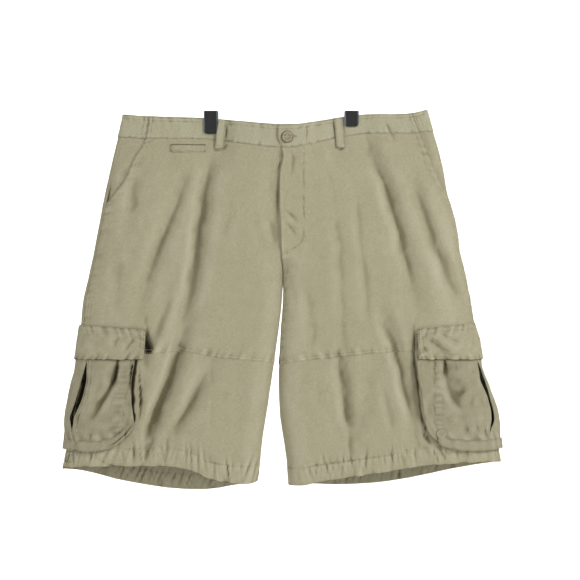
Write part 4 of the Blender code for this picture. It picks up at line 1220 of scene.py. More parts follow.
flapShadeLines = {
    -1: (
        (0.5, 1.5, 3, (-262, -368), (-272, -380), (-271, -394)),
        (0.5, 1.5, 3, (-240, -390), (-248, -398), (-254, -404)),
        (0.4, 1.5, 3, (-238, -368), (-246, -380), (-257, -396)),
    ),
    1: (
        (0.5, 14, 2.2, (232, -366), (247, -377), (264, -388), (288, -401)),
        (0.45, 1.0, 2.2, (236, -366), (252, -375), (266, -384), (284, -392)),
        (0.4, 1.0, 2.2, (254, -360), (268, -369), (282, -376), (298, -381)),
        (0.5, 1.2, 2, (262, -396), (282, -401), (300, -400)),
        (0.5, 1.2, 2, (232, -382), (238, -394), (244, -402)),
    ),
}


def flyRaise(side, x, z):
    if side < 0:
        return 0 * x
    over = 1 - ease(fly["width"], fly["width"] + fly["fade"], x)
    return fly["lift"] * over * ease(-262 * mm, -240 * mm, z)


def below(height):  # a seam that is sewn only below a height
    return lambda points: 1 - ease(height * mm - 2 * mm, height * mm + 2 * mm, points[..., 2])


panels = {
    "frontUpper": (300, 345, 2.9),  # width, height and cell of each grid, mm
    "backUpper": (300, 345, 3.5),
    "frontLower": (345, 205, 2.9),
    "backLower": (350, 205, 3.3),
    "felled": (1.6, 7.4),  # rows of stitches beside a flat-felled seam
    "thigh": (1.5, 6.6),
    "hem": 28.0,  # depth of the turned-up hem
}
allEdges = ("left", "right", "top", "bottom")
beyond = (-6.0,)  # no row of its own: the stitches lie past the edge, and only the puckers show


def panelGrid(part, squash=1.0):
    width, height, cell = panels[part]
    return spread(width, cell), spread(height, cell * squash)


def frontUpper(side):
    name = "front_upper_" + sideNames[side]
    across, down = panelGrid("frontUpper")
    inner = flyLine(fly["under"] if side < 0 else 0.0)
    q, z = lattice(side, inner, slashLine, line(waistLine, "seam"), line(thighLine, "z"), across, down)
    out = flyRaise(side, xAt(side, q, z), z)
    seams = [("right", panels["felled"], 0.7, 0.5), ("bottom", panels["thigh"], 0.5, 1.1)]
    seams.append(("top", beyond, 0.0, 0.8))
    if side > 0:
        seams.append(("left", (1.3, 8.3), 0.5, 0.5, below(-236)))

    def own(s, x, z, away, back):
        if side < 0:
            return flyDip(x, z)
        lifted = np.exp(-away["left"] / (5 * mm)) * ease(-236 * mm, -222 * mm, z)
        wave = 1 + 0.5 * ripple(z / (17 * mm), 3)
        return 1.5 * mm * lifted * wave

    drape(name, side, q, z, out, seams=seams, rolled=("left", "right"), own=own, needled=0.75,
          shadeLines=frontShadeLines + (flapPitShadow,))


def flyDip(x, z):
    return crease((2.4, 16, 6, (-4, -48), (0, -70), (-4, -100), (-5, -150), (-3, -200), (-1, -246)), x, z)


def backUpper(side):
    name = "back_upper_" + sideNames[side]
    across, down = panelGrid("backUpper")
    sideEdge = girth(cloth["sideSeam"][side])
    q, z = lattice(side, sideEdge, girth(2.0), line(waistLine, "seam"), line(thighLine, "z"), across, down)
    seams = [("bottom", panels["thigh"], 0.6, 0.8), ("top", beyond, 0.0, 0.8), ("left", beyond, 0.0, 0.5)]
    if side > 0:
        seams.append(("right", panels["felled"], 0.5, 0.4))
    drape(name, side, q, z, seams=seams)


def lowerPanels(side):
    seam = girth(cloth["sideSeam"][side])
    thigh = line(thighLine, "z", 1.6 * cloth["seam"])  # butted close under the upper panel's edge
    for part, left, right in (("front", girth(0.0), seam), ("back", seam, girth(2.0))):
        name = f"{part}_lower_{sideNames[side]}"
        across, down = panelGrid(part + "Lower", 0.92)
        q, z = lattice(side, left, right, thigh, hemEdge, across, down)
        away = np.abs(z - hemEdge(side, q, z))
        turned = 1 - ease(26 * mm, 28 * mm, away)
        wall = cloth["wall"] * (1 - turned) + cloth["hemWall"] * turned
        seams = [("top", beyond, 0.0, 0.9), ("bottom", (panels["hem"],), 0.0, 0.0)]
        front = part == "front"
        if front:
            seams.append(("right", panels["felled"], 0.6, 0.5))
            apart, lean = (6, 15), (-0.3, 0.3)
        else:
            seams.append(("left", beyond, 0.0, 0.5))
            apart, lean = (3.2, 8), (0.1, 0.6) if side < 0 else (-0.6, -0.1)

        def own(s, x, z, away, back, seed=side * 3 + front + 20, apart=apart, lean=lean):
            up = away["bottom"]
            ledge = 0.5 * mm * (1 - ease(28.8 * mm, 31 * mm, up))
            row = -0.4 * mm * bump(28 * mm, 1.3 * mm, up)
            wave = 0.7 * mm * ripple(s / (5 * mm), seed + 9) * bump(29 * mm, 5 * mm, up)
            foot = 1.5 * mm * ripple(s / (11 * mm), seed + 4) * np.exp(-up / (11 * mm))
            sewn = hemPuckers(s, up, seed, panels["hem"], apart, lean, 0.8 if back.any() else 1.5)
            return sewn + ledge + row + wave + foot

        def paintedShading(s, x, z, away, back, seed=side * 3 + front + 20, apart=apart, lean=lean):
            start = np.where(back, 282 * mm, 262 * mm)
            covered = ease(start, start + 13 * mm, np.abs(x))  # painted shade behind the slit of the cargo pocket
            covered = covered * ease(-552 * mm, -545 * mm, z) * (1 - ease(-400 * mm, -392 * mm, z))
            sewn = hemPuckers(s, away["bottom"], seed, panels["hem"], apart, lean)
            # painted shade in the hem's puckers and along its rolled bottom edge
            gathered = -0.75 * ease(0.3 * mm, 1.8 * mm, -sewn)
            return gathered - 0.7 * np.exp(-away["bottom"] / (2.2 * mm)) - 2 * covered

        drape(name, side, q, z, 0.0, wall, seams=seams, rolled=("bottom",), own=own, paintedShading=paintedShading,
              shadeLines=frontShadeLines)


for side in (-1, 1):
    frontUpper(side)
    backUpper(side)
    lowerPanels(side)
print("body panels hung")


# Waistband, belt loops and the closing

button = {
    "x": 10 * mm,
    "z": -41 * mm,
    "radius": 8.7 * mm,
    "hole": 1.05 * mm,
    "holesApart": 1.9 * mm,  # half of it
    "dark": (150, 141, 110),
    "light": (186, 178, 148),
    "fleck": (110, 100, 74),
    # painted shade in the grooves, holes and rim of the button
    "groove": (62, 55, 38),
}
waistbands = {  # mm
    "top": (1.8, 7.0),  # rows of stitches
    "bottom": (1.6,),
    "end": (1.8,),
    "side": (1.6, 6.6),
    "front": 235,
    "back": 310,
    "height": 40,
    "cell": 1.9,
}


def waistband(side):
    name = sideNames[side]

    def middle(side, z):
        x = waistbandCut["underlap"] if side < 0 else read(flyEdge, "x", z)
        return station(side, x + 0 * z, z)

    def puckered(s, x, z, away, back, seed=5 + side):
        low = 0.9 * ripple((s + 0.3 * z) / (5.2 * mm), seed) * np.exp(-away["bottom"] / (8 * mm))
        high = 0.7 * ripple((s - 0.3 * z) / (6.5 * mm), seed + 2) * np.exp(-away["top"] / (8 * mm))
        under = sum(bump(place * mm, 9 * mm, x) for place in ((-100, 97) if not back.any() else ()))
        return (low + high - 1.3 * under) * mm

    cell = waistbands["cell"]
    seam, down = line(waistLine, "seam"), spread(waistbands["height"], cell * 1.15)
    rows = [("top", waistbands["top"], 0.15, 0.6), ("bottom", waistbands["bottom"], 0.0, 0.45)]
    wall = waistbandCut["out"] + waistbandCut["inside"]
    q, z = lattice(side, middle, slashLine, waistTop, seam, spread(waistbands["front"], cell), down)
    x = xAt(side, q, z)
    over = fly["bandLift"] * (1 - ease(fly["width"], fly["width"] + fly["fade"], x)) if side > 0 else 0 * x
    out = waistbandCut["out"] + over
    edges = rows + [("left", waistbands["end"], 0.0, 0.1)] if side > 0 else rows
    edges = edges + [("right", waistbands["side"], 0.25, 0.25)]

    def paintedShading(s, x, z, away, back):
        # painted shadow ring around the button, and lighter along the bottom edge
        ring = np.hypot(x - button["x"], z - button["z"]) - button["radius"]
        return -1.1 * bump(0.6 * mm, 1.3 * mm, ring) + 0.5 * np.exp(-away["bottom"] / (1.0 * mm))

    drape("waistband_front_" + name, side, q, z, out, wall, "waist", edges, allEdges, puckered,
          paintedShading=paintedShading, shadeLines=bandShadeLines, rumpled=0.9, needled=0.95, edged=0.2)
    q, z = lattice(side, slashLine, girth(2.0), waistTop, seam, spread(waistbands["back"], cell), down)
    out = waistbandCut["out"]
    drape("waistband_back_" + name, side, q, z, out, wall, "waist", rows, ("top", "bottom"), puckered,
          rumpled=0.8, needled=0.9, edged=0.2)


facingCut = {
    "width": 60,
    "height": 130,
    "foot": -170 * mm,
    "tucked": 13 * mm,  # how far it reaches under the front
    "sunk": 0.5 * mm,
    "sunkLow": 2.3 * mm,  # it leaves the slanted edge where the pocket gapes
}


def pocketFacing(side):
    def tucked(side, z):
        return slashLine(side, z) - facingCut["tucked"] / span(side, 0.9, z)

    across, down = (spread(facingCut[key], 3, False, False) for key in ("width", "height"))
    top, foot = line(waistLine, "seam"), level(facingCut["foot"])
    q, z = lattice(side, tucked, girth(cloth["sideSeam"][side]), top, foot, across, down)
    gape = ease(-100 * mm, -123 * mm, z)
    sunk = facingCut["sunk"] * (1 - gape) + facingCut["sunkLow"] * gape
    past = (q - tabled(slashLine, side)(z)) * span(side, q, z)
    under = 1 - 0.85 * ease(1 * mm, 11 * mm, past) * ease(-140 * mm, -110 * mm, z)

    def own(s, x, z, away, back):
        return crease((1.8, 5, 4, (side * 270, -118), (side * 262, -104), (side * 254, -84)), x, z)

    name = "pocket_facing_" + sideNames[side]
    drape(name, side, q, z, -(cloth["wall"] + sunk) * under, finish="lining", own=own)


for side in (-1, 1):
    waistband(side)
    pocketFacing(side)


beltLoops = {  # side, middle at the top and the foot, top, foot, how it rises along its length, at the back
    "front_left": (-1, -96, -103, -12, -59, (5.0, 5.2, 5.2, 5.0, 2.2, 1.0), False),  # over the clip's jaw
    "front_right": (1, 94.5, 99, -9, -58, (1.0, 1.6, 1.8, 1.6, 1.6, 1.8), False),
    "back_left": (-1, -170, -172, -7, -58, (1.0, 1.6, 1.8, 1.6, 1.6, 1.8), True),
    "back_right": (1, 170, 172, 0, -50, (1.0, 1.6, 1.8, 1.6, 1.6, 1.8), True),
    "back_middle": (1, 0, 0, -17, -70, (1.0, 1.6, 1.8, 1.6, 1.6, 1.8), True),
}
loopWidth = 15


def beltLoop(name, side, xTop, xBottom, zTop, zBottom, rises, back):
    across, down = spread(loopWidth, 1.2), spread(abs(zTop - zBottom), 1.6)
    a, b = np.meshgrid(across - 0.5, down)
    z = (zTop * (1 - b) + zBottom * b) * mm
    x = (xTop * (1 - b) + xBottom * b + a * loopWidth) * mm
    q = station(side, x, z, back)
    rise = np.interp(b, np.linspace(0, 1, len(rises)), rises) * mm

    def own(s, x, z, away, back):
        ends = 0.5 * mm * (bump(2 * mm, 1.5 * mm, away["top"]) + bump(2 * mm, 1.5 * mm, away["bottom"]))
        ridge = 0.25 * mm * bump(loopWidth / 2 * mm, 2.6 * mm, away["left"])
        return ridge - ends + 0.2 * mm * ripple(away["top"] / (6 * mm), int(abs(xTop)))

    def paintedShading(s, x, z, away, back):
        # painted shade along both edges of the loop
        return -0.5 * np.exp(-np.minimum(away["left"], away["right"]) / (1.1 * mm))

    rows = [("left", (2.0,), 0.0, 0.15), ("right", (2.0,), 0.0, 0.15)]
    drape(name, side, q, z, rise + cloth["wall"] + 0.9 * mm, cloth["wall"], "waist", rows, allEdges, own,
          paintedShading=paintedShading, rumpled=0.4)
    for x, z in ((xTop, zTop - 3.2), (xBottom, zBottom + 3.2)):
        barTack(name, x, z, 0, loopWidth - 3, 1.9, back)


for place, found in beltLoops.items():
    beltLoop("belt_loop_" + place, *found)


shield = {
    "width": 52,
    "height": 155,
    "left": -14 * mm,
    "top": -62 * mm,
    "foot": -216 * mm,
    "behind": 3 * mm,
}


def flyShield():
    a, b = np.meshgrid(spread(shield["width"], 2.6, False, False), spread(shield["height"], 3, False, False))
    z = shield["top"] * (1 - b) + shield["foot"] * b
    q = station(1, shield["left"] * (1 - a) + fly["width"] * a, z)
    drape("fly_shield", 1, q, z, -(cloth["wall"] + cloth["rest"] + shield["behind"]), finish="lining")


coinPocket = {"left": -183, "width": 58, "top": -52.5, "height": 12.5}


def coinWelt():
    a, b = np.meshgrid(spread(coinPocket["width"], 1.3), spread(coinPocket["height"], 1.1))
    z = (coinPocket["top"] - coinPocket["height"] * b) * mm
    q = station(-1, (coinPocket["left"] + coinPocket["width"] * a) * mm, z)

    def own(s, x, z, away, back):
        return 0.25 * mm * ripple(s / (7 * mm), 4) * ease(0, 4 * mm, away["top"])

    def paintedShading(s, x, z, away, back):
        # painted shadow under the welt's top edge
        return -1.2 * np.exp(-((away["top"] / (1.6 * mm)) ** 2))

    rows = [("left", (2.2,), 0.0, 0.1), ("right", (2.2,), 0.0, 0.1), ("bottom", (2.0,), 0.0, 0.2)]
    out = 2 * cloth["rest"] + cloth["wall"]
    drape("coin_welt", -1, q, z, out, seams=rows, rolled=allEdges, own=own, paintedShading=paintedShading, rumpled=0.7)


flyShield()
coinWelt()
print("waist sewn")


# Cargo pockets

cargo = table(
    "z     left  right  stand  slitLeft  slitRight  wideLeft  wideRight",
    (-360, 236, 222, 0.9, 316, 318, 1.4, 1.4),
    (-382, 237, 222, 3.4, 316, 318, 1.4, 1.4),
    (-400, 239, 223, 5.0, 317, 319, 1.4, 1.4),
    (-414, 240, 224, 5.6, 318, 321, 1.8, 2.4),
    (-430, 243, 226, 6.3, 320, 325, 5.5, 8),
    (-445, 245, 228, 6.7, 323, 329, 9.3, 12.5),
    (-458, 245, 230, 6.9, 326, 333.5, 10, 9),
    (-475, 245, 232, 7.2, 330, 338.5, 11, 5),
    (-492, 243, 234, 7.1, 336, 343, 9.6, 6),
    (-507, 241, 236, 7.0, 341, 345, 8, 6.5),
    (-528, 240, 242, 6.4, 341, 341, 1.4, 1.4),
    (-560, 240, 246, 5.4, 341, 341, 1.4, 1.4),
)
cargoFoot = table(
    "x     left  right",
    (238, -506, -520),
    (246, -526, -532),
    (258, -540, -545),
    (276, -552, -553),
    (298, -558, -557),
    (330, -559, -558),
    (372, -556, -555),
)
flapStand = table("z stand", (-345, 0.4), (-356, 1.2), (-366, 3.6), (-382, 6.2), (-400, 7.6), (-415, 8.8))
flapTop = table("x left right", (220, -359, -358), (335, -351, -347), (372, -350, -346))
cargoCut = {
    "top": -366 * mm,
    "back": 276 * mm,  # back edge, from the middle
    "slit": (-414 * mm, -528 * mm),
    "flapFront": 225 * mm,
    "flapBack": 266 * mm,
    "flapFoot": -409 * mm,
    "flapLevel": -380 * mm,
    "flapWall": 1.4 * mm,
    "band": 17 * mm,
}


def cargoFront(side, z):
    return station(side, side * read(cargo, sideNames[side], z), z)


def cargoBack(side, z):
    return station(side, side * cargoCut["back"] + 0 * z, z, True)


def cargoBottom(side, q, z):
    distance = np.abs(xAt(side, q, z))
    distance = np.where(q > 1, distance - (cargoCut["back"] - 240 * mm), distance)
    return read(cargoFoot, sideNames[side], distance)


def slitEdge(share):
    def edge(side, z):
        name = sideNames[side].capitalize()
        x = side * read(cargo, "slit" + name, z)
        return station(side, x, z) + share * read(cargo, "wide" + name, z) / 2 / span(side, 0.9, z)

    return edge


def cargoLattice(side, top, down):
    parts = (
        (cargoFront, slitEdge(-1), 36),
        (slitEdge(-1), slitEdge(1), 4),
        (slitEdge(1), girth(1.0), 18),
        (girth(1.0), cargoBack, 38),
    )
    columns = []
    for left, right, count in parts:
        left, right = tabled(left, side), tabled(right, side)
        last = None if right(heights)[0] > 1 else -1
        shares = np.linspace(0, 1, count + 1)[:last]
        q, z = (np.full((len(down), len(shares)), value) for value in (0.95, -0.45))
        for _ in range(9):
            z = top * (1 - down[:, None]) + cargoBottom(side, q, z) * down[:, None]
            q = left(z) * (1 - shares) + right(z) * shares
        columns.append((q, z))
    q, z = (np.concatenate(values, axis=1) for values in zip(*columns))
    return q, z, parts[0][2]


faceCreases = {
    -1: (
        (5.0, 9, 4, (-267, -404), (-270, -430), (-275, -450), (-288, -472), (-308, -500), (-314, -516)),
        (1.4, 5, 7, (-292, -420), (-302, -460), (-306, -490)),
        (1.6, 4, 6, (-262, -500), (-268, -512), (-280, -524), (-292, -530)),
        (1.4, 3, 5, (-250, -508), (-262, -526), (-276, -540)),
    ),
    1: (
        (5.0, 5, 32, (268, -402), (270, -432), (274, -456), (285, -476), (304, -498)),
        (1.2, 5, 8, (316, -420), (318, -460), (312, -500)),
        (1.4, 4, 6, (250, -420), (254, -440), (262, -452)),
        (1.4, 3, 5, (300, -512), (304, -524), (306, -534)),
        (1.2, 3, 5, (320, -508), (322, -522), (320, -534)),
    ),
}
flapCreases = {
    -1: (
        (1.2, 4, 6, (-262, -366), (-272, -378), (-272, -392)),
        (1.2, 4, 6, (-238, -366), (-246, -380), (-258, -398)),
        (0.9, 5, 7, (-300, -362), (-306, -380), (-302, -404)),
        (0.9, 5, 7, (-326, -360), (-330, -384), (-340, -402)),
    ),
    1: (
        (1.7, 9, 5, (234, -364), (250, -377), (268, -389), (292, -401)),
        (0.9, 4, 5, (256, -360), (274, -371), (292, -379), (304, -383)),
        (1.1, 4, 5, (234, -380), (240, -394), (246, -404)),
        (1.0, 5, 7, (312, -366), (318, -384), (314, -402)),
    ),
}


def cargoPocket(side):
    name = "cargo_face_" + sideNames[side]
    down = spread(190, 2.5, False, True)
    q, z, column = cargoLattice(side, cargoCut["top"], down)
    slitTop, slitFoot = cargoCut["slit"]
    cut = np.zeros((q.shape[0] - 1, q.shape[1] - 1), bool)
    middle = (z[1:, column] + z[:-1, column]) / 2
    cut[:, column : column + 4] = ((middle < slitTop) & (middle > slitFoot))[:, None]
    edge = q[:, column : column + 1]
    across = 19 if side < 0 else 12  # width in mm of the strip beside the row of stitches down the face

    def own(s, x, z, away, back):
        out = sum(crease(shape, x, z) for shape in faceCreases[side]) * ~back
        near = np.abs(q - edge) * span(side, q, z) / mm
        inSlit = ease(slitFoot - 8 * mm, slitFoot, z) * (1 - ease(slitTop + 2 * mm, slitTop + 10 * mm, z))
        doubled = 0.7 * (1 - ease(8.5, 10.5, near)) - 0.4 * (bump(1.6, 0.8, near) + bump(7.0, 0.8, near))
        inside, best, _, where, _ = nearest(sewnLines[name][0], x, z, 30)
        beside = best * where * side
        strip = np.zeros(x.shape)
        strip[inside] = 1.1 * ripple(z[inside] / (3.2 * mm), 9 + side) - 0.2
        strip[inside] *= bump(across / 2 + 1, across / 2.2, beside)
        strip[inside] -= 0.5 * bump(across + 1.5, 1.0, beside)
        lean = s + 0.35 * z * side
        bottom = 1.5 * ripple(lean / (5 * mm), 30 + side) * bump(21 * mm, 9 * mm, away["bottom"])
        head = 0.7 * ripple(lean / (6 * mm), 34 + side) * np.exp(-away["top"] / (30 * mm))
        loose = (0.85 - 0.25 * side) * patch(s / (19 * mm), z / (30 * mm), 5 + side)
        loose = loose + 0.5 * patch(s / (8 * mm), z / (12 * mm), 6)
        swell = 0.6 + 0.6 * ripple(z / (21 * mm), 7 + side)
        loose = loose + 1.6 * np.exp(-away["left"] / (5 * mm)) * swell
        return out + (doubled * inSlit + strip * ~back + bottom + head + loose) * mm

    def paintedShading(s, x, z, away, back):
        near = np.abs(q - edge) * span(side, q, z) / mm
        inSlit = ease(slitFoot - 6 * mm, slitFoot, z) * (1 - ease(slitTop + 2 * mm, slitTop + 8 * mm, z))
        # painted shade along the stitch rows beside the slit, and painted shadow under the flap, fading
        # downwards
        lip = -0.7 * (bump(1.4, 0.8, near) + bump(6.6, 0.8, near)) * inSlit
        return lip - 0.9 * np.exp(-away["top"] / (46 * mm)) * (away["top"] < 46 * mm)

    seams = [("left", (1.6,), 0.0, 0.3), ("right", (1.6,), 0.0, 0.3)]
    out = read(cargo, "stand", z) + cloth["wall"]
    drape(name, side, q, z, out, finish="pocket", seams=seams, rolled=("left", "right", "bottom"),
          own=own, paintedShading=paintedShading, cut=cut, creased=0.0, shadeLines=pocketShadeLines[side])
    cargoBand(side, q[-1], z[-1])
    cargoFlap(side)


def cargoBand(side, q, low):  # along the foot of the face, from a little behind its front edge
    b = spread(cargoCut["band"] / mm, 1.5)[:, None]
    z = ((low + cargoCut["band"]) * (1 - b) + low * b)[:, 6:]
    q = np.repeat(q[None], len(b), axis=0)[:, 6:]
    out = read(cargo, "stand", z) + 2 * cloth["wall"] + 2 * cloth["rest"]

    def own(s, x, z, away, back):
        return (0.5 * ripple(s / (5.5 * mm), 40 + side) + 0.5 * ripple(s / (16 * mm), 41 + side)) * mm

    seams = [("top", (1.8,), 0.0, 0.3), ("bottom", (1.8,), 0.0, 0.3)]
    drape("cargo_band_" + sideNames[side], side, q, z, out, finish="pocket", seams=seams,
          rolled=("top", "bottom", "left"), own=own, creased=0.0, shadeLines=pocketShadeLines[side][3:5])


def cargoFlap(side):
    which = sideNames[side]
    start, end = (
        float(station(side, np.array(side * cargoCut[edge]), np.array(cargoCut["flapLevel"]), back))
        for edge, back in (("flapFront", False), ("flapBack", True))
    )

    def top(side, q, z):
        return read(flapTop, which, np.abs(xAt(side, q, z)))

    def own(s, x, z, away, back):
        out = sum(crease(shape, x, z) for shape in flapCreases[side]) * ~back
        foot = 0.8 * ripple(s / (7 * mm), 44 + side) * np.exp(-away["bottom"] / (9 * mm))
        sag = 1.1 * ripple(s / (31 * mm), 47 + side) * np.exp(-away["bottom"] / (20 * mm))
        loose = 0.7 * patch(s / (17 * mm), z / (15 * mm), 8 + side)
        loose = loose + 0.4 * patch(s / (7 * mm), z / (8 * mm), 9)
        return out + (foot + sag + loose) * mm

    across, down = spread(205, 2.4), spread(54, 1.7)
    q, z = lattice(side, girth(start), girth(end), top, level(cargoCut["flapFoot"]), across, down)
    seams = [("top", (2.0, 9.5), 0.4, 1.2), ("bottom", (5.0,), 0.3, 1.0)]
    seams += [(edge, (2.2, 8.0), 0.2, 0.8) for edge in ("left", "right")]
    out = read(flapStand, "stand", z) + cargoCut["flapWall"]

    def paintedShading(s, x, z, away, back):
        # painted shade along the flap's bottom edge
        return -0.9 * np.exp(-((away["bottom"] / (2.6 * mm)) ** 2))

    drape("cargo_flap_" + which, side, q, z, out, cargoCut["flapWall"], "flap", seams, allEdges, own,
          paintedShading=paintedShading, creased=0.0, shadeLines=flapShadeLines[side])


gusset = {
    "top": -402 * mm,
    "corner": -500 * mm,  # where it turns under the pocket
    "inset": 12 * mm,
    "wall": 1.1 * mm,
    "shown": (-534 * mm, -500 * mm),  # the strip shows beside the front edge alone, above these heights
    "course": (  # across in mm and up as a share of the pocket's stand, from the leg to the face
        *((-4, -0.05), (-1, 0.02), (2, 0.05), (5, 0.1), (7.6, 0.2), (8.2, 0.34), (7, 0.5)),
        *((5, 0.62), (3, 0.7), (1.4, 0.72), (0, 0.7), (-2, 0.8), (-4, 0.9)),
    ),
}


def gussetPath(side):  # down the front edge, along the bottom and up the back edge
    low = -550 * mm
    front = np.linspace(gusset["top"], gusset["corner"], 36)
    rear = np.linspace(gusset["corner"], gusset["top"], 36)
    start, end = (float(f(side, np.array(-540 * mm))) for f in (cargoFront, cargoBack))
    bottom = np.linspace(start + gusset["inset"], end - gusset["inset"], 70)
    path = [(float(cargoFront(side, np.array(z))), z) for z in front]
    path += [(q, float(cargoBottom(side, np.array(q), np.array(low)))) for q in bottom]
    path += [(float(cargoBack(side, np.array(z))), z) for z in rear]
    q, z = np.array(path).T
    for _ in range(3):
        q[1:-1] = (q[:-2] + 2 * q[1:-1] + q[2:]) / 4
        z[1:-1] = (z[:-2] + 2 * z[1:-1] + z[2:]) / 4
    return q, z


def cargoGusset(side):  # the bellows strip between the face and the leg, folded once
    q, z = gussetPath(side)
    whole = span(side, q, z)
    run = unit(np.stack([np.gradient(q) * whole, np.gradient(z)], axis=1))
    aside = np.stack([run[:, 1], -run[:, 0]], axis=1)  # away from the pocket
    stand = read(cargo, "stand", z)
    length = runOf(np.stack([q * whole, z], axis=1))
    course = np.array(gusset["course"])
    shares = np.linspace(0, 1, len(course))
    turn = unit(np.gradient(course * [1, 6.5], axis=0))
    shown = (side < 0) * ease(*gusset["shown"], z) * (q < 0.9)
    outer, inner = [], []
    for (across, up), (runs, climbs), swell in zip(course, turn, np.sin(shares * math.pi)):
        wave = 2.2 * ripple(length / (15 * mm), 50 + side)
        wave = (wave + 0.8 * ripple(length / (6 * mm) + 2 * up, 51 + side)) * mm * swell * shown
        reach = across * mm * (0.15 + 0.85 * shown if across > 0 else 1.0) - 1.5 * mm * (1 - shown) * swell
        lift = stand * up + 0.4 * wave * (up > 0.3) + 0.4 * mm
        for rows, sunk in ((outer, 0.0), (inner, gusset["wall"])):
            sideways = reach + wave - sunk * climbs
            height = lift + sunk * runs * (0.8 if up < 0.3 else -0.8)
            at = q + sideways * aside[:, 0] / whole, z + sideways * aside[:, 1]
            rows.append(skin(side, *at) + outward(side, *at) * height[:, None])
    points = bothSides(np.array(outer), np.array(inner))
    woven = np.stack(np.broadcast_arrays(length, shares[:, None] * 0.03, 0.0), axis=-1)
    # tone: painted shade towards both folds of the strip, a little lighter in its middle
    edge = np.repeat(np.abs(shares - 0.46)[:, None], len(q), axis=1)
    tone = (0.15 - 2.1 * ease(0.08, 0.24, edge)).ravel()
    values = {"tone": np.concatenate([tone, tone]), "cloth": bothSides(woven, woven)}
    name = "cargo_gusset_" + sideNames[side]
    faces = wallFaces(len(course), len(q))
    asCloth(makeMesh("canvas_" + name, points, faces, finishes["pocket"], values), name)


for side in (-1, 1):
    cargoPocket(side)
    cargoGusset(side)
print("cargo pockets sewn")


def discFaces(rings, count):  # a closed disc of two sides: the rings run outwards from a small middle
    faces, far = [], rings * count
    for ring in range(rings - 1):
        for k in range(count):
            a, b = ring * count + k, ring * count + (k + 1) % count
            faces += [(a, b, b + count, a + count), (far + a + count, far + b + count, far + b, far + a)]
    rim = (rings - 1) * count
    for k in range(count):
        a, b = rim + k, rim + (k + 1) % count
        faces.append((a, b, far + b, far + a))
    for k in range(0, count // 2 - 1):
        a, b, c, d = k, k + 1, count - 2 - k, count - 1 - k
        if b < c:
            faces += [(a, b, c, d), (far + d, far + c, far + b, far + a)]
    return np.array(faces)


def disc(sides, rings):  # directions around a circle, and its rings as a column
    return np.arange(sides) * 2 * math.pi / sides, np.array(rings)[:, None]


cornerPatch = {"size": (16.5, 14.0), "centre": (263.0, -529.5), "sides": 60, "thick": 1.7}


def cornerTab():
    turn, rings = disc(cornerPatch["sides"], (0.04, 0.2, 0.36, 0.5, 0.62, 0.72, 0.8, 0.87, 0.93, 0.97, 1.0))
    uneven = 1 + 0.04 * ripple(turn * 3, 12)
    x, z = (
        (centre + size / 2 * rings * wave(turn) * uneven) * mm
        for centre, size, wave in zip(cornerPatch["centre"], cornerPatch["size"], (np.cos, np.sin))
    )
    q = station(1, x, z)
    normal = outward(1, q, z)
    base = skin(1, q, z) + normal * (read(cargo, "stand", z) + cloth["wall"] + cloth["rest"])[..., None]
    rise = cornerPatch["thick"] + 0.9 * bump(0.84, 0.16, rings) - 0.35 * bump(0.62, 0.07, rings)
    rise = rise - 1.3 * ease(0.93, 1.0, rings) + 0.2 * patch(x / (4 * mm), z / (4 * mm), 3)
    high = base + normal * (rise * mm)[..., None]
    woven = np.stack([x, z, 0 * z], axis=-1)
    # tone: lighter where the tab stands up, painted shade in its groove and at its rim
    tone = np.clip((rise - cornerPatch["thick"]) / 0.6, -1, 1).ravel()
    values = {"tone": np.concatenate([tone, 0 * tone]), "cloth": bothSides(woven, woven)}
    faces = discFaces(len(rings), cornerPatch["sides"])
    made = makeMesh("canvas_corner_tab", bothSides(high, base), faces, finishes["pocket"], values)
    asCloth(made, "cargo_corner_tab")
    path, facing = (np.append(grid[4], grid[4][:1], axis=0) for grid in (high, normal))
    sew("cargo_corner_tab", path, facing, 2.4 * mm, 1.7 * mm)


cornerTab()

# Bar tacks, the coin welt's ends and the buttonhole

tacks = (  # piece, x, z, turn
    ("front_upper_right", 40.5, -57.5, 90),
    ("front_upper_right", 8, -231, 20),
    ("front_upper_left", -228, -52, 60),
    ("front_upper_left", -288, -146, 50),
    ("front_upper_right", 240, -46, -60),
    ("front_upper_right", 279, -136, -55),
    ("cargo_face_left", -336, -524, 80),
    ("cargo_face_right", 340, -522, -80),
    ("cargo_flap_left", -229, -366, 90),
    ("cargo_flap_left", -229, -404, 90),
    ("cargo_flap_right", 229, -364, 90),
    ("cargo_flap_right", 229, -404, 90),
)
buttonhole = {"piece": "waistband_front_right", "from": 17.5, "to": 28.5, "z": -40.0}


def looseStitches():
    for piece, x, z, turn in tacks:
        barTack(piece, x, z, turn)
    for end, inward in ((-181, 1), (-127, -1)):  # the coin welt's small triangles
        point = (end + inward * 7, -59)
        for path in (((end, -54), point), (point, (end, -63.5))):
            sewPath("coin_welt", path, pitch=2.2 * mm, length=1.7 * mm)
    piece, z = buttonhole["piece"], buttonhole["z"]
    for at in np.arange(buttonhole["from"], buttonhole["to"], 0.42):
        for up in (-1, 1):
            places, normals = onto(piece, ((at, z + 0.35 * up), (at + 0.1, z + 1.7 * up)))
            if len(places) > 1:
                sewing.setdefault(piece, []).append((places[0], places[-1], normals[0]))
    barTack(piece, buttonhole["to"] + 0.6, z, 90, 3.6, 1.2)


looseStitches()
print("stitches:", sum(len(found) for found in sewing.values()))

# Button


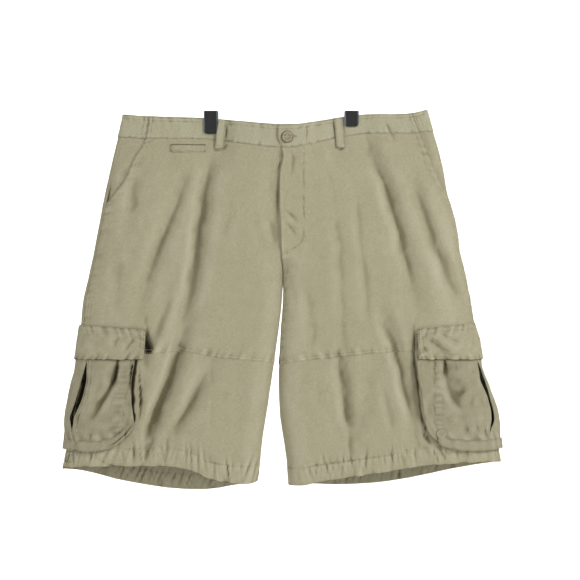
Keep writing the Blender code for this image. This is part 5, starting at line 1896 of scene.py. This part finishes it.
def hornMaterial():
    made, tree, shader = newMaterial("dyedHorn")
    place = node(tree, "TexCoord").outputs["Object"]
    streak = noise(tree, stretched(tree, place, (1.0, 1.0, 3.2)), 190.0, 4.0, 0.6)
    fine = noise(tree, place, 900.0, 2.0)
    dark, light, fleck, groove = (linear(*button[key]) for key in ("dark", "light", "fleck", "groove"))
    colour = mixed(tree, ramp(tree, streak, 0.32, 0.68), dark, light)
    colour = mixed(tree, ramp(tree, fine, 0.3, 0.7, 0, 0.2), colour, fleck)
    # painted shade where the tone is low
    colour = mixed(tree, ramp(tree, attribute(tree, "tone"), -1, 0, 0.85, 0), colour, groove)
    link(tree, colour, shader.inputs["Base Color"])
    link(tree, ramp(tree, streak, 0.3, 0.7, 0.42, 0.55), shader.inputs["Roughness"])
    link(tree, bumped(tree, fine, 0.15, 0.1 * mm), shader.inputs["Normal"])
    return made


def waistButton():
    x, z = np.array([button["x"]]), np.array([button["z"]])
    q = station(1, x, z)
    normal = outward(1, q, z)[0]
    seat = skin(1, q, z)[0] + normal * (waistbandCut["out"] + fly["bandLift"] + 1.2 * mm)
    right = unit(np.cross(normal, (0.0, 0.0, 1.0)))
    up = np.cross(right, normal)
    turn, rings = disc(96, np.linspace(0.02, 1, 56))
    u, v = button["radius"] * rings * np.cos(turn), button["radius"] * rings * np.sin(turn)
    r = rings * button["radius"] / mm + 0 * turn
    high = 1.75 - 0.35 * (1 - ease(0, 4.5, r)) + 0.95 * ease(5.0, 6.3, r) - 0.25 * bump(4.9, 0.35, r)
    high = high - 0.5 * ease(7.3, 8.3, r) - 1.2 * ease(8.2, 8.7, r) ** 2
    for du in (-1, 1):
        for dv in (-1, 1):
            off = np.hypot(u - du * button["holesApart"], v - dv * button["holesApart"])
            high = high - 1.25 * (1 - ease(0.72 * button["hole"], button["hole"], off))
    low = 0.25 + 0.3 * (r / 8.7) ** 2 + 0.45 * ease(8.0, 8.7, r)
    # painted shade in the ring groove, at the rim and in the holes; the underside takes the full shade colour
    dark = -0.75 * bump(4.9, 0.45, r) - ease(8.1, 8.6, r) - ease(0.4, 0.9, 1.9 - high) * (r < 4)
    tones = {"tone": np.concatenate([np.clip(dark, -1, 0).ravel(), -1 + 0 * dark.ravel()])}
    flat = u[..., None] * right + v[..., None] * up + seat
    points = bothSides(*(flat + (h * mm)[..., None] * normal for h in (high, low)))
    faces = discFaces(len(rings), len(turn))
    made = makeMesh("horn_waist_button", points, faces, hornMaterial(), tones)
    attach(made, "root")
    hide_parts("waist_button")
    for du in (-1, 1):
        for shift in (-0.35, 0.0, 0.35):
            middle = seat + right * (du * button["holesApart"] + shift * mm) + normal * 1.3 * mm
            reach = up * button["holesApart"]
            sewing.setdefault("button_thread", []).append((middle - reach, middle + reach, normal))


waistButton()

# Hanger clips: the frame's own jaws and eyes in black plastic, with painted highlights along the jaws' rims

clipLook = {
    "black": (13, 14, 15),
    "dusty": (27, 28, 30),
    # painted highlight along the jaws' rims
    "rim": (112, 116, 122),
    "rimWidth": 2.3 * mm,
    "bevel": 0.45 * mm,
}


def clipMaterial(name, rimmed):
    made, tree, shader = newMaterial(name)
    place = node(tree, "TexCoord").outputs["Object"]
    grain = noise(tree, place, 700.0, 3.0)
    cloud = noise(tree, place, 60.0, 3.0)
    black, dusty = linear(*clipLook["black"]), linear(*clipLook["dusty"])
    colour = mixed(tree, ramp(tree, cloud, 0.35, 0.7, 0, 0.5), black, dusty)
    if rimmed:
        parts = node(tree, "SeparateXYZ")
        link(tree, place, parts.inputs[0])
        beside = calculate(tree, "SUBTRACT", calculate(tree, "ABSOLUTE", parts.outputs["X"]), clips["x"][1])
        beside = calculate(tree, "ABSOLUTE", beside)
        edge = clips["width"] / 2 - clipLook["rimWidth"]
        rim = ramp(tree, beside, edge - 0.3 * mm, edge + 0.5 * mm)
        # painted highlight along the rims, uneven
        rubbedAndLit = calculate(tree, "MULTIPLY", rim, ramp(tree, cloud, 0.3, 0.6, 0.35, 0.95))
        colour = mixed(tree, rubbedAndLit, colour, linear(*clipLook["rim"]))
    link(tree, colour, shader.inputs["Base Color"])
    link(tree, ramp(tree, grain, 0.3, 0.7, 0.32, 0.46), shader.inputs["Roughness"])
    link(tree, bumped(tree, grain, 0.25, 0.15 * mm), shader.inputs["Normal"])
    return made


def dressClips():
    rimmed, plain = clipMaterial("clipPlastic", True), clipMaterial("clipEyePlastic", False)
    for side in sideNames.values():
        for part, look in (("front_jaw", rimmed), ("back_jaw", rimmed), ("eye", plain)):
            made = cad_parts[f"clip_{side}_{part}"]
            for slot in made.material_slots:
                slot.material = look
            weld = made.modifiers.new("weld", "WELD")
            weld.merge_threshold = 0.01 * mm
            bevel = made.modifiers.new("softEdges", "BEVEL")
            bevel.width = clipLook["bevel"]
            bevel.segments = 3
            bevel.limit_method = "ANGLE"
            bevel.angle_limit = math.radians(40)
            bevel.harden_normals = False


dressClips()
print("button and clips dressed")

# What each piece was cut to before it was sewn and hung: width, length and area in millimetres

cuts = {
    "front_upper_left": (338, 379, 110200),
    "back_upper_left": (354, 365, 117900),
    "front_lower_left": (342, 202, 66100),
    "back_lower_left": (367, 232, 76900),
    "front_upper_right": (348, 381, 109700),
    "back_upper_right": (344, 370, 109600),
    "front_lower_right": (379, 202, 72300),
    "back_lower_right": (379, 218, 76800),
    "waistband_front_left": (259, 38, 9460),
    "waistband_back_left": (328, 42, 12520),
    "pocket_facing_left": (49, 147, 4120),
    "waistband_front_right": (234, 38, 8040),
    "waistband_back_right": (286, 42, 10180),
    "pocket_facing_right": (41, 153, 4090),
    "belt_loop_front_left": (15, 48, 690),
    "belt_loop_front_right": (15, 49, 710),
    "belt_loop_back_left": (15, 51, 760),
    "belt_loop_back_right": (15, 50, 745),
    "belt_loop_back_middle": (15, 53, 790),
    "fly_shield": (52, 154, 8000),
    "coin_welt": (58.5, 12.5, 730),
    "cargo_face_left": (273, 197, 38700),
    "cargo_band_left": (251, 17.4, 3700),
    "cargo_flap_left": (214, 58, 11850),
    "cargo_gusset_left": (480, 18, 8640),
    "cargo_face_right": (266, 198, 39800),
    "cargo_band_right": (245, 17.4, 3840),
    "cargo_flap_right": (199, 62, 11130),
    "cargo_gusset_right": (480, 18, 8640),
    "cargo_corner_tab": (16.5, 14, 230),
}
for name, (width, length, area) in cuts.items():
    makeThreads(name)
makeThreads("button_thread")
print(len(cuts), "pieces of cloth declared")

# Camera, floor, backdrop and light

studio = {
    "camera": (0.01485, -2.2746, -0.2937),
    "lens": 85.0,
    "floor": -1.05,
    "room": 4.2,  # radius of the round paper wall
    "bend": 1.3,
    "height": 2.6,
    "paper": (222, 222, 221),
    "glow": 0.13,
    "world": 0.25,
}
lamps = (  # name, place, aim, size, watts
    ("key", (1.9, -2.0, 1.15), (0.0, 0.0, -0.3), 0.8, 44.0),
    ("fill", (-1.5, -2.4, 0.3), (0.0, 0.0, -0.35), 1.2, 6.0),
    ("back", (-2.1, 1.6, 1.5), (0.0, 0.0, -0.3), 0.9, 3.0),
    ("wallLeft", (-2.0, 2.3, 1.5), (0.5, 3.9, -0.4), 1.2, 95.0),
    ("wallRight", (2.0, 2.3, 1.5), (-0.5, 3.9, -0.4), 1.2, 95.0),
)


def backdrop():
    bend, floor, room = (studio[key] for key in ("bend", "floor", "room"))
    profile = [(0.1 * mm, floor), (room - bend, floor)]
    for turn in np.linspace(0, math.pi / 2, 17)[1:]:
        profile.append((room - bend + bend * math.sin(turn), floor + bend * (1 - math.cos(turn))))
    profile.append((room, studio["height"]))
    turns = np.linspace(0, 2 * math.pi, 97)[:-1]
    points = np.array([(r * math.cos(t), r * math.sin(t), z) for r, z in profile for t in turns])
    index = np.arange(len(points)).reshape(len(profile), -1)
    ring = np.roll(index, -1, axis=1)
    faces = np.stack([index[:-1], ring[:-1], ring[1:], index[1:]], -1).reshape(-1, 4)
    look, _, shader = newMaterial("studioPaper")
    shader.inputs["Base Color"].default_value = linear(*studio["paper"])
    shader.inputs["Roughness"].default_value = 0.95
    shader.inputs["Emission Color"].default_value = (1, 1, 1, 1)
    shader.inputs["Emission Strength"].default_value = studio["glow"]
    makeMesh("studioPaper", points, faces, look)


def light():
    world = bpy.data.worlds.new("studio")
    world.use_nodes = True
    sky = world.node_tree.nodes["Background"]
    sky.inputs["Color"].default_value = (1, 1, 1, 1)
    sky.inputs["Strength"].default_value = studio["world"]
    bpy.context.scene.world = world
    for name, place, aim, size, watts in lamps:
        lamp = bpy.data.lights.new(name, "AREA")
        lamp.shape = "DISK"
        lamp.size = size
        lamp.energy = watts
        made = added(name, lamp)
        made.location = place
        made.rotation_euler = (Vector(place) - Vector(aim)).to_track_quat("Z", "Y").to_euler()


def camera():
    lens = bpy.data.cameras.new("camera")
    lens.lens = studio["lens"]
    lens.sensor_width = 36.0
    lens.clip_end = 30.0
    made = added("camera", lens)
    made.location = studio["camera"]
    made.rotation_euler = (math.pi / 2, 0, 0)
    bpy.context.scene.camera = made


backdrop()
light()
camera()
bpy.context.scene.view_settings.view_transform = "Standard"

print("scene done")
